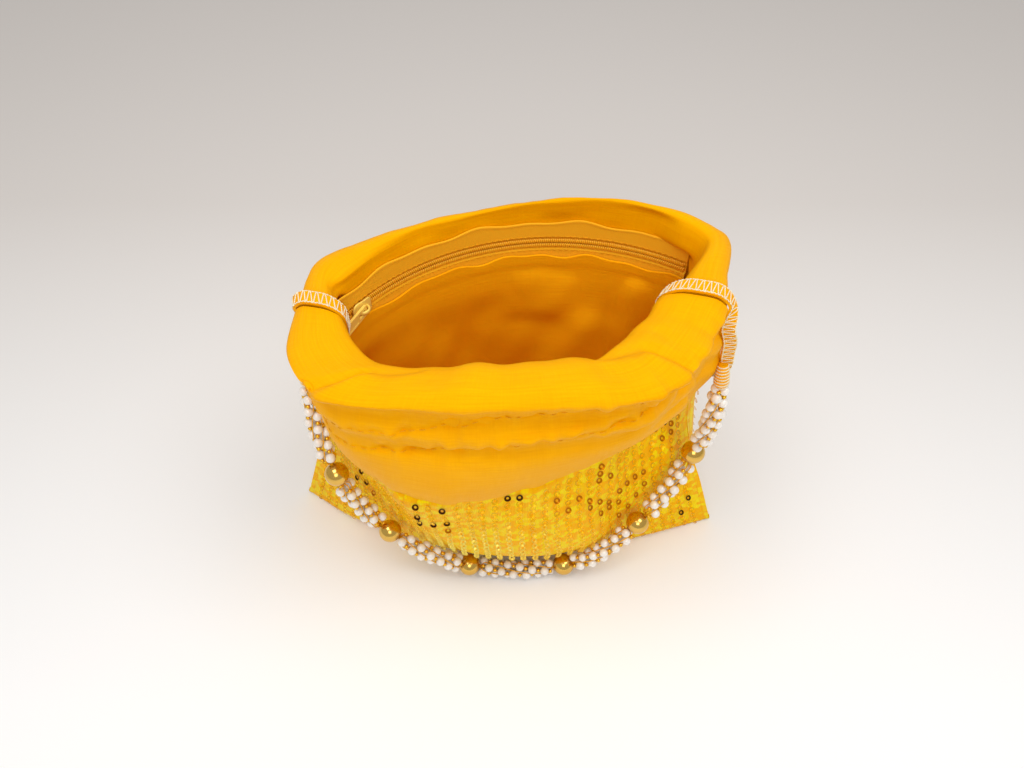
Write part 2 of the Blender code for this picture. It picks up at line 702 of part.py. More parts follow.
def make_handle(pearl, gold, thread):
    """Seven bundles of pearls with a bored gold bead between each two, and a binding at each end."""
    route = np.asarray(HANDLE_ROUTE, float)
    chords = np.concatenate([[0], np.cumsum(np.linalg.norm(np.diff(route, axis=0), axis=1))])
    dense_at = np.linspace(0, chords[-1], 1200)
    dense = smooth(chords, route, dense_at)
    stops = [chords[stop] for stop in BEAD_STOPS]
    for number, stop in enumerate(stops, 1):
        place = smooth(chords, route, np.array([stop]))[0]
        ahead = smooth(chords, route, np.array([stop + 1.0]))[0] - place
        bore = math.asin(BEAD_BORE / BEAD_RADIUS)
        turn = np.linspace(bore, math.pi - bore, 8)
        profile = [(BEAD_RADIUS * math.sin(a), -BEAD_RADIUS * math.cos(a)) for a in turn]
        turned(f"gold_bead_{number}", profile, 12, place, ahead, gold)
    hold = BEAD_RADIUS + GAP
    starts = [0.0] + [stop + hold for stop in stops]
    ends = [stop - hold for stop in stops] + [chords[-1]]
    for number, (start, end) in enumerate(zip(starts, ends), 1):
        places = smooth(chords, route, np.linspace(start, end, 5))
        curve = bpy.data.curves.new(f"pearl_strand_{number}", "CURVE")
        curve.dimensions = "3D"
        curve.bevel_depth = STRAND_RADIUS * MM
        curve.bevel_resolution = 3
        curve.use_fill_caps = True
        spline = curve.splines.new("POLY")
        spline.points.add(len(places) - 1)
        taper = {1: STRAND_TAPER, 7: STRAND_TAPER[::-1]}.get(number, (1.0,) * len(places))
        for point, place, share in zip(spline.points, places, taper):
            point.co = (*(place * MM), 1.0)
            point.radius = share
        curve.materials.append(pearl)
        made = bpy.data.objects.new(f"pearl_strand_{number}", curve)
        bpy.context.collection.objects.link(made)
    make_binding("right", dense[0], dense[20], thread)
    make_binding("left", dense[-1], dense[-21], thread)


def make_binding(name, end, before, finish):
    """The thread-wrapped end of the handle, which leans from the last pearls to the side seam."""
    strand = (end - before) / np.linalg.norm(end - before)
    away = np.array(BINDING_TIPS[name]) - end
    away /= np.linalg.norm(away)
    low = end + strand * GAP
    angles = np.linspace(0, 2 * math.pi, 13)[:-1]
    rings = []
    for share, lean, radius in ((0.0, 0.0, 0.85), (0.15, 0.3, 1.0), (0.7, 1.0, 0.9), (1.0, 1.0, 0.55)):
        axis = (1 - lean) * strand + lean * away
        axis /= np.linalg.norm(axis)
        side = np.cross(axis, (0, 1, 0))
        side /= np.linalg.norm(side)
        circle = np.cos(angles)[:, None] * side + np.sin(angles)[:, None] * np.cross(axis, side)
        rings.append(low + away * share * BINDING_LENGTH + radius * BINDING_RADIUS * circle)
    swept(f"handle_binding_{name}", np.array(rings), finish)


def main():
    """Clears the scene and makes every piece of the bag."""
    for old in list(bpy.data.objects):
        bpy.data.objects.remove(old)
    sequinned = material("sequinned fabric", (0.87, 0.50, 0.01), 0.35)
    silk = material("yellow silk", (0.95, 0.46, 0.01), 0.45)
    cotton = material("orange cotton", (0.76, 0.16, 0.005), 0.85)
    tape = material("zip tape", (0.82, 0.30, 0.012), 0.8)
    coil = material("zip coil", (0.80, 0.27, 0.012), 0.5)
    brass = material("brass", (0.86, 0.60, 0.16), 0.3, 1.0)
    gold = material("polished gold", (0.83, 0.50, 0.10), 0.15, 1.0)
    pearl = material("pearl", (0.90, 0.88, 0.86), 0.2)
    thread = material("cream thread", (0.92, 0.84, 0.62), 0.7)
    make_body(sequinned)
    make_collar(silk)
    make_lining(cotton)
    make_pocket(cotton)
    make_zip(tape, coil)
    top = make_slider(brass)
    make_pull_tab(top, brass)
    make_overlocks(thread)
    make_handle(pearl, gold, thread)


main()
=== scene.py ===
"""Potli bag, dressed: a sequinned pouch with a silk collar, lining, zip pocket and pearl handle.

Every piece is a surface worked out with numpy as whole arrays. Plans, routes and sizes are in
millimetres, with X to the right, Y to the back and Z up, and become metres when a mesh is made.
"""

from __future__ import annotations

import logging
import math
from dataclasses import dataclass, field, replace
from enum import Enum
from typing import Any, Sequence

import bpy
import numpy as np
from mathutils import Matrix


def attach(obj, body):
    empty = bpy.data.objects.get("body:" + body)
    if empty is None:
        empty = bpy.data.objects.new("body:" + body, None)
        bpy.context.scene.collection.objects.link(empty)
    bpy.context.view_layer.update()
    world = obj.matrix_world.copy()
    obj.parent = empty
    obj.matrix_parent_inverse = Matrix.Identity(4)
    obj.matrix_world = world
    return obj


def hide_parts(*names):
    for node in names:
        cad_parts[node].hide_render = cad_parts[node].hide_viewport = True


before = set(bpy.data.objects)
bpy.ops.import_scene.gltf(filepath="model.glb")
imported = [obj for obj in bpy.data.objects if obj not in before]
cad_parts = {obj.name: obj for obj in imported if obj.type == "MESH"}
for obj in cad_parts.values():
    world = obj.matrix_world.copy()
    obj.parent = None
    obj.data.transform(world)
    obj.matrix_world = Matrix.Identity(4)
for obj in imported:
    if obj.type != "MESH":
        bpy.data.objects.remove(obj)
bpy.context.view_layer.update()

Array = np.ndarray
Piece = bpy.types.Object
Material = bpy.types.Material
Socket = bpy.types.NodeSocket
Outputs = bpy.types.NodeOutputs
Color = tuple[float, float, float, float]
Spots = tuple[tuple[float, float], ...]
Plans = tuple[Spots, ...]
Points = tuple[tuple[float, float, float], ...]

LOG = logging.getLogger("potli_bag")
MM = 0.001
TURN = 2 * math.pi

# The camera, which the picture's sight lines also need
CAMERA_PLACE = np.array([2.7, -205.5, 340.0])
CAMERA_PITCH = math.radians(50)
CAMERA_LENS = 27.035
CAMERA_SENSOR = 36.0
PICTURE = (1024, 768)
PICTURE_FOCUS = 769.0

# The bag's upright middle line, and the heights and widths of its cloth
BAG_MIDDLE = np.array([4.0, 0.0])
COLLAR_SEAM = 100.0
LOWER_STITCH = 131.0
UPPER_STITCH = 147.0
ROLL_FOOT = 150.0
PANEL_SPAN = 206.0
SEAM_GAP = 0.25
SEAM_BLEND = 0.05
SEQUIN_COLUMNS = 39

STATIONS = (0.0, 34.0, 66.0, 100.0, 125.0, 150.0)
FRONT_PLANS: Plans = (
    ((-102, 8), (-80, -7), (-52, -18), (-12, -27.5), (24, -27), (52, -22.5), (80, -15.5), (102, -8)),
    ((-91, 3), (-75, -11.5), (-50, -27), (-15, -43.5), (22, -44), (50, -30.5), (74, -16.5), (91, -9)),
    ((-81, -3), (-70, -16), (-53, -34), (-22, -51), (16, -49), (44, -36), (65, -21), (80, -9)),
    ((-72, -10), (-65, -26), (-56, -42), (-27, -59.5), (11, -53), (37, -40.5), (58, -24), (75, -8)),
    ((-70, -15), (-66, -33), (-58, -48.5), (-27, -59), (16, -57.5), (45, -49), (62, -36.5), (79.5, -16)),
    ((-70.5, -16), (-69, -36), (-60, -49.5), (-27, -58), (18, -58), (50, -52), (64, -36.5), (75.5, -17)),
)
BACK_PLANS: Plans = (
    ((102, -8), (82, 6), (56, 17.5), (26, 26), (-6, 29.5), (-34, 28), (-58, 23), (-82, 16), (-102, 8)),
    ((91, -9), (84, 8), (66, 22), (36, 35), (2, 40), (-30, 36), (-56, 25), (-77, 12), (-91, 3)),
    ((80, -9), (82, 8), (71, 24), (42, 38), (8, 42), (-25, 36.5), (-52, 22), (-71, 7), (-81, -3)),
    ((75, -8), (81.5, 7), (74, 24), (46, 39), (11, 42), (-23, 35), (-50, 19), (-68, 4), (-72, -10)),
    ((79.5, -16), (81, 4), (75, 22), (49, 38.5), (13, 42), (-21, 34), (-49, 18), (-68, 3), (-70, -15)),
    ((75.5, -17), (78, 4), (74, 21), (50, 37.5), (14, 42), (-20, 33.5), (-49, 18), (-68, 4), (-70.5, -16)),
)
FRONT_LIP: Spots = (
    (-55, -20), (-50, -30), (-41, -39), (-18, -43), (10, -42), (31, -38), (43, -26), (53, -12)
)
BACK_LIP: Spots = (
    (53, -12), (63, -2), (71, 11), (50, 30), (16, 36), (-20, 28), (-44, 12), (-59, -3), (-55, -20)
)
FRONT_CREST = (157, 155, 157, 160.5, 161, 160, 157.5, 160)
BACK_CREST = (160, 162, 162.5, 161.5, 159, 157, 158.5, 158.5, 157)

# The arc that the zip follows, about an upright axis
ZIP_AXIS = np.array([19.4, -54.2])
ZIP_RADIUS = 91.3
ZIP_HEIGHT = 139.5
ZIP_DEGREES = (56.0, 149.0)
SLIDER_DEGREES = 143.5
BACK_WALL_RADIUS = ZIP_RADIUS + 4.3

HANDLE_ROUTE: Points = (
    (80.9, -20.8, 119.0),
    (81.5, -21.5, 104.0),
    (81.3, -20.2, 88.0),
    (79.1, -18.9, 73.0),
    (74.5, -22.0, 60.0),
    (67.8, -26.7, 48.0),
    (58.7, -32.2, 37.2),
    (49.0, -36.5, 26.5),
    (38.7, -38.2, 15.6),
    (27.0, -37.2, 7.0),
    (13.0, -38.6, 5.6),
    (-2.0, -38.9, 5.6),
    (-17.3, -37.4, 7.0),
    (-30.4, -39.8, 18.8),
    (-41.8, -38.6, 27.8),
    (-51.7, -34.9, 34.6),
    (-59.5, -32.8, 46.0),
    (-65.4, -31.8, 60.0),
    (-69.3, -30.6, 74.0),
    (-74.0, -24.0, 86.0),
    (-76.0, -18.5, 98.0),
    (-76.2, -14.5, 112.0),
)
BEAD_STOPS = (3, 6, 9, 12, 15, 18)
SEAM_GATHERS = ((19.7, 0.4, 0.3), (12.1, 2.0, 0.2))
BINDING_TIPS = {"right": (80.5, -18.6, 127.0), "left": (-74.0, -14.8, 120.0)}


# Numbers and curves


def smooth(knots: Any, values: Any, at: Any) -> Array:
    """A cubic through values at knots, with the slopes of their neighbours.

    Args:
        knots: rising places.
        values: what the curve passes through at each knot.
        at: the places to read.

    Returns:
        The curve's values at those places.
    """
    knots, values, at = (np.asarray(item, float) for item in (knots, values, at))
    slopes = np.gradient(values, knots, axis=0)
    place = np.clip(np.searchsorted(knots, at, side="right") - 1, 0, len(knots) - 2)
    step = knots[place + 1] - knots[place]
    t = (at - knots[place]) / step
    shape = t.shape + (1,) * (values.ndim - 1)
    t, step = t.reshape(shape), step.reshape(shape)
    start = (2 * t**3 - 3 * t**2 + 1) * values[place] + (t**3 - 2 * t**2 + t) * step * slopes[place]
    end = (3 * t**2 - 2 * t**3) * values[place + 1] + (t**3 - t**2) * step * slopes[place + 1]
    return start + end


def ease(value: Any) -> Array:
    """A step from 0 to 1 with soft ends: 3v^2 - 2v^3."""
    value = np.clip(value, 0.0, 1.0)
    return value * value * (3 - 2 * value)


def unit(vectors: Array) -> Array:
    """The vectors at length one."""
    return vectors / np.maximum(np.linalg.norm(vectors, axis=-1, keepdims=True), 1e-12)


def lengths_along(curve: Array) -> Array:
    """The distance run along a curve up to each of its points."""
    steps = np.linalg.norm(np.diff(curve, axis=0), axis=1)
    return np.concatenate([[0.0], np.cumsum(steps)])


def read_along(rows: Array, knots: Array, at: Array) -> Array:
    """Rows of numbers, one for each knot, read in straight steps at places between the knots."""
    return np.stack([np.interp(at, knots, column) for column in rows.T], -1)


def along(points: Any, fractions: Any) -> Array:
    """A smooth curve through the points, read at fractions of its length.

    Args:
        points: what the curve passes through, in order.
        fractions: shares of its length, from 0 to 1.

    Returns:
        The curve's places there.
    """
    points = np.asarray(points, float)
    knots = lengths_along(points)
    curve = smooth(knots, points, np.linspace(0, knots[-1], 400))
    arc = lengths_along(curve)
    return read_along(curve, arc, np.asarray(fractions) * arc[-1])


def ripple(at: Array, waves: Sequence[tuple[float, float, float]]) -> Array:
    """A sum of sines over at, each given by its wavelength, its phase and its height."""
    return sum(high * np.sin(TURN * at / length + phase) for length, phase, high in waves)


def grid_normals(grid: Array) -> Array:
    """Unit normals of a grid of points, by the cross product of its two runs."""
    return unit(np.cross(np.gradient(grid, axis=1), np.gradient(grid, axis=0)))


def outward_normals(grid: Array, upper: bool) -> Array:
    """Normals with the sign that points away from the bag's middle line, in all, over one half of the rows.

    Args:
        grid: points, (rows, columns, 3).
        upper: whether the last half of the rows decides, or the first.

    Returns:
        The normals, (rows, columns, 3).
    """
    normals = grid_normals(grid)
    half = len(grid) // 2
    rows = slice(half, None) if upper else slice(0, half)
    away = grid[rows, :, :2] - BAG_MIDDLE
    return -normals if (away * normals[rows, :, :2]).sum() < 0 else normals


def round_turn(grid: Array, row: int, reach: int, passes: int) -> None:
    """Rounds a grid across one of its rows, in place, by the mean of each row and its two neighbours.

    Args:
        grid: points, which are changed.
        row: the row where the cloth turns.
        reach: how many rows away the rounding fades out.
        passes: how many times the mean is taken.
    """
    near = ease(1 - np.abs(np.arange(len(grid)) - row) / reach)[1:-1, None, None]
    for _ in range(passes):
        mean = 0.25 * grid[:-2] + 0.5 * grid[1:-1] + 0.25 * grid[2:]
        grid[1:-1] += near * (mean - grid[1:-1])


def to_picture(points: Array) -> Array:
    """Where points fall in the 1024 x 768 picture, by the camera's perspective.

    Args:
        points: places in millimetres, (..., 3).

    Returns:
        How far across and down the picture each is, (..., 2).
    """
    arm = points - CAMERA_PLACE
    depth = arm[..., 1] * math.cos(CAMERA_PITCH) - arm[..., 2] * math.sin(CAMERA_PITCH)
    rise = arm[..., 1] * math.sin(CAMERA_PITCH) + arm[..., 2] * math.cos(CAMERA_PITCH)
    across = PICTURE[0] / 2 + PICTURE_FOCUS * arm[..., 0] / depth
    return np.stack([across, PICTURE[1] / 2 - PICTURE_FOCUS * rise / depth], -1)


# Shapes as arrays


@dataclass
class Shape:
    """Points in millimetres with their faces, places on the cloth and tints."""

    points: Array
    quads: Array = field(default_factory=lambda: np.zeros((0, 4), int))
    tris: Array = field(default_factory=lambda: np.zeros((0, 3), int))
    places: Array | None = None
    tint: Array | None = None
    slot: int = 0

    def filled(self) -> "Shape":
        """The same shape with places and tints in full.

        Returns:
            A copy in which nothing is left out.
        """
        count = len(self.points)
        places = np.zeros((count, 2)) if self.places is None else self.places
        tint = np.zeros(count) if self.tint is None else self.tint
        return replace(self, places=places, tint=tint)

    def outwards(self) -> "Shape":
        """The same closed shape, turned so that the volume inside its faces is positive.

        Returns:
            This shape, or a copy with its faces reversed.
        """
        faces = np.concatenate([self.tris, self.quads[:, [0, 1, 2]], self.quads[:, [0, 2, 3]]])
        a, b, c = (self.points[faces[:, corner]] for corner in range(3))
        if (a * np.cross(b, c)).sum() < 0:
            return replace(self, quads=self.quads[:, ::-1], tris=self.tris[:, ::-1])
        return self


def make_object(name: str, shapes: Sequence[Shape], materials: Sequence[Material]) -> Piece:
    """One object from shapes, with a UV map in metres of cloth and a tint for each point.

    Args:
        name: the piece's name.
        shapes: closed shapes, each in one of the materials by its slot.
        materials: the materials in slot order.

    Returns:
        The object, at the origin.
    """
    shapes = [shape.filled() for shape in shapes]
    starts = np.cumsum([0] + [len(shape.points) for shape in shapes[:-1]])
    tris = np.concatenate([shape.tris + start for shape, start in zip(shapes, starts)])
    quads = np.concatenate([shape.quads + start for shape, start in zip(shapes, starts)])
    slots = np.concatenate(
        [np.full(len(shape.tris), shape.slot) for shape in shapes]
        + [np.full(len(shape.quads), shape.slot) for shape in shapes]
    )
    points = np.concatenate([shape.points for shape in shapes]) * MM
    corners = np.concatenate([tris.ravel(), quads.ravel()]).astype(np.int32)
    first = np.concatenate([3 * np.arange(len(tris)), 3 * len(tris) + 4 * np.arange(len(quads))])
    mesh = bpy.data.meshes.new(name)
    mesh.vertices.add(len(points))
    mesh.vertices.foreach_set("co", points.astype(np.float32).ravel())
    mesh.loops.add(len(corners))
    mesh.loops.foreach_set("vertex_index", corners)
    mesh.polygons.add(len(first))
    mesh.polygons.foreach_set("loop_start", first.astype(np.int32))
    mesh.polygons.foreach_set("material_index", slots.astype(np.int32))
    mesh.update(calc_edges=True)
    places = np.concatenate([shape.places for shape in shapes]) * MM
    layer = mesh.uv_layers.new(name="cloth")
    layer.data.foreach_set("uv", places[corners].astype(np.float32).ravel())
    tint = np.concatenate([shape.tint for shape in shapes]).astype(np.float32)
    mesh.attributes.new("tint", "FLOAT", "POINT").data.foreach_set("value", tint)
    for material in materials:
        mesh.materials.append(material)
    mesh.shade_smooth()
    mesh.set_sharp_from_angle(angle=math.radians(60))
    made = bpy.data.objects.new(name, mesh)
    bpy.context.collection.objects.link(made)
    return made


def net(rows: int, columns: int, round_rows: bool = False, round_columns: bool = False) -> Array:
    """The quads of a grid of points, which may also close on itself either way.

    Args:
        rows: of the grid.
        columns: of the grid.
        round_rows: whether the last row joins the first.
        round_columns: whether the last column joins the first.

    Returns:
        The corners of each quad, (quads, 4).
    """
    index = np.arange(rows * columns).reshape(rows, columns)
    if round_rows:
        index = np.concatenate([index, index[:1]])
    if round_columns:
        index = np.concatenate([index, index[:, :1]], 1)
    quads = np.stack([index[:-1, :-1], index[:-1, 1:], index[1:, 1:], index[1:, :-1]], -1)
    return quads.reshape(-1, 4)


def shell(face: Array, back: Array, places: Array, slot: int = 0) -> Shape:
    """A closed cloth: a face grid, a back grid and a strip that joins their borders.

    Args:
        face: points of the outer side, (rows, columns, 3).
        back: points of the inner side, in the same order.
        places: where each point is on the flat cloth, (rows, columns, 2).
        slot: the number of its material.

    Returns:
        The closed shape.
    """
    rows, columns = face.shape[:2]
    index = np.arange(rows * columns).reshape(rows, columns)
    rim = np.concatenate([index[0], index[1:, -1], index[-1, -2::-1], index[-2:0:-1, 0]])
    after = np.roll(rim, -1)
    count = rows * columns
    quads = net(rows, columns)
    border = np.stack([after, rim, rim + count, after + count], -1)
    return Shape(
        np.concatenate([face.reshape(-1, 3), back.reshape(-1, 3)]),
        np.concatenate([quads, quads[:, ::-1] + count, border]),
        places=np.tile(places.reshape(-1, 2), (2, 1)),
        slot=slot,
    ).outwards()


def circle(across: Array, over: Array, sides: int) -> Array:
    """Directions once round the plane of two unit vectors: their sum by cosine and sine."""
    angles = np.linspace(0, TURN, sides, endpoint=False)[:, None]
    return np.cos(angles) * across[..., None, :] + np.sin(angles) * over[..., None, :]


def fans(poles: Array, rims: Array) -> Array:
    """Triangles from each pole to every step round its rim."""
    after = np.roll(rims, -1, axis=-1)
    return np.stack([np.broadcast_to(poles[:, None], rims.shape), rims, after], -1).reshape(-1, 3)


def tubes(rings: Array, tips: Array, flat: Array | None = None, slot: int = 0) -> Shape:
    """Closed tubes: quads from ring to ring, and a fan of triangles to a tip at either end.

    Args:
        rings: (tubes, rings, sides, 3).
        tips: the two end points of each tube, (tubes, 2, 3).
        flat: where each ring point is on the flat cloth, (tubes, rings, sides, 2).
        slot: the number of its material.

    Returns:
        All the tubes as one shape.
    """
    count, places, sides = rings.shape[:3]
    starts = np.arange(count)[:, None] * places * sides
    poles = count * places * sides + 2 * np.arange(count)
    rim = starts + np.arange(sides)
    first = fans(poles, rim)[:, [0, 2, 1]]
    last = fans(poles + 1, rim + (places - 1) * sides)
    quads = net(places, sides, round_columns=True)[None] + starts[..., None]
    return Shape(
        np.concatenate([rings.reshape(-1, 3), tips.reshape(-1, 3)]),
        quads.reshape(-1, 4),
        np.concatenate([first, last]),
        places=None if flat is None else np.concatenate([flat.reshape(-1, 2), np.zeros((2 * count, 2))]),
        slot=slot,
    ).outwards()


def rods(paths: Array, radii: Any, sides: int, up: Any, slot: int = 0) -> Shape:
    """Round rods along many paths at once: a circle of points at each place, square to the path.

    Args:
        paths: (rods, places, 3).
        radii: one radius, or one for each place.
        sides: how many sides a rod has.
        up: a direction, or one for each place, that is not along the path.
        slot: the number of its material.

    Returns:
        All the rods, closed at their ends.
    """
    radii = np.broadcast_to(np.asarray(radii, float), paths.shape[:2])[..., None]
    run = unit(np.gradient(paths, axis=1))
    across = unit(np.cross(run, np.broadcast_to(up, paths.shape)))
    rings = paths[:, :, None] + radii[..., None] * circle(across, np.cross(across, run), sides)
    steps = np.linalg.norm(np.diff(paths, axis=1, prepend=paths[:, :1]), axis=2)
    girth = radii * np.linspace(0, TURN, sides, endpoint=False)
    flat = np.stack(np.broadcast_arrays(girth, np.cumsum(steps, axis=1)[..., None]), -1)
    return tubes(rings, paths[:, [0, -1]], flat, slot)


def turned(profile: Array, centres: Array, axes: Array, segments: int, looped: bool,
           sizes: Any = 1.0, slot: int = 0, tint: Array | None = None) -> Shape:
    """The same profile turned about many axes at once.

    Args:
        profile: (radius, along the axis) of each ring. An open profile starts and ends at a pole.
        centres: the place of each copy.
        axes: the direction of each copy's axis.
        segments: how many steps one turn has.
        looped: whether the profile closes on itself, as a ring's does.
        sizes: one scale, or one for each copy.
        slot: the number of its material.
        tint: one tint for each copy of a looped profile.

    Returns:
        All the copies as one shape.
    """
    count = len(centres)
    axes = unit(axes)
    guide = np.where(np.abs(axes[:, 2:3]) > 0.9, [[0.0, 1.0, 0.0]], [[0.0, 0.0, 1.0]])
    across = unit(np.cross(guide, axes))
    ring = circle(across, np.cross(axes, across), segments)[:, :, None]
    sizes = np.broadcast_to(sizes, (count,))[:, None, None, None]
    points = profile[:, :1] * ring + profile[:, 1:] * axes[:, None, None]
    points = centres[:, None, None] + sizes * points
    rims = points if looped else points[:, :, 1:-1]
    rings = rims.shape[2]
    starts = np.arange(count)[:, None] * segments * rings
    quads = net(segments, rings, round_rows=True, round_columns=looped)[None] + starts[..., None]
    tints = None if tint is None else np.repeat(tint, segments * rings)
    made = Shape(rims.reshape(-1, 3), quads.reshape(-1, 4), slot=slot, tint=tints)
    if not looped:
        rim = starts + np.arange(segments) * rings
        poles = len(made.points) + 2 * np.arange(count)
        made.tris = np.concatenate([fans(poles, rim), fans(poles + 1, rim + rings - 1)[:, [0, 2, 1]]])
        made.points = np.concatenate([made.points, points[:, 0, [0, -1]].reshape(-1, 3)])
    return made.outwards()


def ball(radius: float, rings: int) -> Array:
    """The profile of a ball from pole to pole."""
    angles = np.linspace(0, math.pi, rings + 1)
    return np.stack([radius * np.sin(angles), -radius * np.cos(angles)], -1)


def stitches(line: Array, up: Array, length: float, gap: float, radius: float, slot: int = 0) -> Shape:
    """Short threads along a line, each rising in its middle and dipping into the cloth at its ends.

    Args:
        line: points of the seam line.
        up: the cloth's outward direction at each point.
        length: of one stitch.
        gap: between two stitches.
        radius: of the thread.
        slot: the number of its material.

    Returns:
        The stitches as one shape.
    """
    run = lengths_along(line)
    count = int(run[-1] // (length + gap))
    share = np.linspace(0, 1, 7)
    at = (np.arange(count)[:, None] + 0.5) * run[-1] / count + (share - 0.5) * length
    rise = unit(read_along(up, run, at))
    lift = radius * (2.2 * np.sin(math.pi * share) - 0.8)
    return rods(read_along(line, run, at) + lift[:, None] * rise, radius, 6, rise, slot)


# The walls, as the solids have them


class Side(Enum):
    """The front or the back half of the bag."""

    FRONT = "front"
    BACK = "back"


@dataclass(frozen=True)
class Wall:
    """One half of the bag's outer wall, from plans given at each station height."""

    side: Side
    ear_thickness: float = 0.9

    @property
    def front(self) -> bool:
        """Whether this is the front half."""
        return self.side is Side.FRONT

    @property
    def plans(self) -> Array:
        """The plans of this half."""
        return np.asarray(FRONT_PLANS if self.front else BACK_PLANS, float)

    def plan(self, heights: Array, fractions: Array) -> tuple[Array, Array]:
        """Plan places at heights and fractions of the way round, and the directions out there.

        Args:
            heights: one for each row.
            fractions: of the way round, one for each column.

        Returns:
            The places and the unit directions out, both (rows, columns, 2).
        """
        controls = smooth(STATIONS, self.plans, heights)
        fractions = np.broadcast_to(fractions, (len(heights), np.shape(fractions)[-1]))
        places, outs = [], []
        for height, control, row in zip(heights, controls, fractions):
            place = along(control, row)
            run = unit(along(control, np.clip(row + 0.01, 0, 1)) - along(control, np.clip(row - 0.01, 0, 1)))
            if not self.front:
                place = keep_radius(place, outer=BACK_WALL_RADIUS, weight=ease((height - 85) / 35))
            chord = unit(control[-1] - control[0])
            ear = self.ear_thickness * ease(1 - height / 60)
            places.append(place + np.array([chord[1], -chord[0]]) * ear)
            outs.append(np.stack([run[:, 1], -run[:, 0]], -1))
        return np.array(places), np.array(outs)

    def soft_folds(self, heights: Array, fractions: Array) -> Array:
        """How far soft upright folds push the wall out: two sines round the bag that lean with height.

        Args:
            heights: one for each row.
            fractions: of the way round.

        Returns:
            The push of each point, (rows, columns).
        """
        heights = np.asarray(heights, float)[:, None]
        turns = TURN * np.asarray(fractions)
        rise = ease(heights / 50) * ease((COLLAR_SEAM + 6 - heights) / 12)
        lean = 0.012 * heights
        if self.front:
            wave = np.sin(3.0 * turns + 0.8 + lean) + 0.7 * np.sin(5.0 * turns - 1.1 - 2 * lean)
        else:
            wave = np.sin(2.0 * turns + 2.1 - lean) + 0.8 * np.sin(4.0 * turns + 0.4 + lean)
        return 1.1 * rise * wave * np.sin(math.pi * np.asarray(fractions)) ** 0.5

    def inset(self, heights: Array, fractions: Array, depth: Any) -> Array:
        """Points at a depth inside the wall, which shrinks where the bag is thin.

        Args:
            heights: one for each row.
            fractions: of the way round.
            depth: one, or one for each point.

        Returns:
            The points, (rows, columns, 3).
        """
        heights = np.asarray(heights, float)
        places, outs = self.plan(heights, fractions)
        places = places + outs * self.soft_folds(heights, fractions)[..., None]
        controls = smooth(STATIONS, self.plans, heights)
        chord = unit(controls[:, -1] - controls[:, 0])
        side = np.stack([chord[:, 1], -chord[:, 0]], -1)
        reach = ((places - controls[:, :1]) * side[:, None]).sum(-1)
        depth = np.minimum(np.broadcast_to(depth, reach.shape), 0.8 * np.maximum(reach, 0.05))
        places = places - outs * depth[..., None]
        return np.dstack([places, np.broadcast_to(heights[:, None], reach.shape)])

    def with_base(self, upright: Array, rows: int) -> Array:
        """A wall grid with the rows before it that run straight from the bottom seam to its foot.

        Args:
            upright: the wall's rows, from its foot up.
            rows: how many the base has.

        Returns:
            All the rows, from the bottom seam on.
        """
        seam = self.base_seam(upright[0])
        share = np.linspace(0, 1, rows + 1)[:-1, None, None]
        return np.concatenate([seam + share * (upright[0] - seam), upright])

    def base_seam(self, floor_row: Array) -> Array:
        """Points of the bottom seam abreast of a row of base points.

        Args:
            floor_row: points at the wall's foot.

        Returns:
            One point of the seam for each.
        """
        plan = self.plans[0]
        start, end = plan[0], plan[-1]
        run = unit(end - start)
        side = np.array([run[1], -run[0]])
        t = (floor_row[:, :2] - start) @ run
        middle = np.abs(2 * t / np.linalg.norm(end - start) - 1)
        points = start + t[:, None] * run + side * 0.15
        points[:, 1] += 3.0 * (1 - np.clip(middle, 0, 1) ** 2)
        return np.column_stack([points, floor_row[:, 2]])


def zip_weight(points: Array) -> Array:
    """1 in front of the zip and 0 past its ends, by the angle about the zip's axis."""
    angle = np.degrees(np.arctan2(points[..., 1] - ZIP_AXIS[1], points[..., 0] - ZIP_AXIS[0]))
    return ease((angle - 42) / 9) * ease((159 - angle) / 8)


def keep_radius(points: Array, inner: Any = None, outer: Any = None, weight: Any = 1.0) -> Array:
    """Moves plan points along their line to the zip's axis until they clear a radius about it.

    Args:
        points: plan places, (..., 2).
        inner: the radius to stay inside, where outer isn't given.
        outer: the radius to stay outside.
        weight: the share of the move, one or one for each point.

    Returns:
        The moved places.
    """
    arm = points - ZIP_AXIS
    radius = np.linalg.norm(arm, axis=-1)
    wanted = np.minimum(radius, inner) if outer is None else np.maximum(radius, outer)
    share = np.asarray(weight) * zip_weight(points)
    return ZIP_AXIS + arm * (1 + share * (wanted / radius - 1))[..., None]


def run_up(grid: Array) -> Array:
    """How far up the cloth each row of a grid is, by the mean of its columns."""
    steps = np.linalg.norm(np.diff(grid, axis=0), axis=2).mean(1)
    return np.concatenate([[0.0], np.cumsum(steps)])


def flat_places(grid: Array, fractions: Array) -> Array:
    """Where each point of a panel is on its flat cut: across by its fraction, up by the mean run."""
    across = np.broadcast_to(fractions * PANEL_SPAN, grid.shape[:2])
    return np.stack([across, np.broadcast_to(run_up(grid)[:, None], across.shape)], -1)


# Finishes


def srgb(red: int, green: int, blue: int) -> Color:
    """A screen colour as the linear one that a shader takes."""
    parts = [value / 255 for value in (red, green, blue)]
    linear = [part / 12.92 if part <= 0.04045 else ((part + 0.055) / 1.055) ** 2.4 for part in parts]
    return (*linear, 1.0)


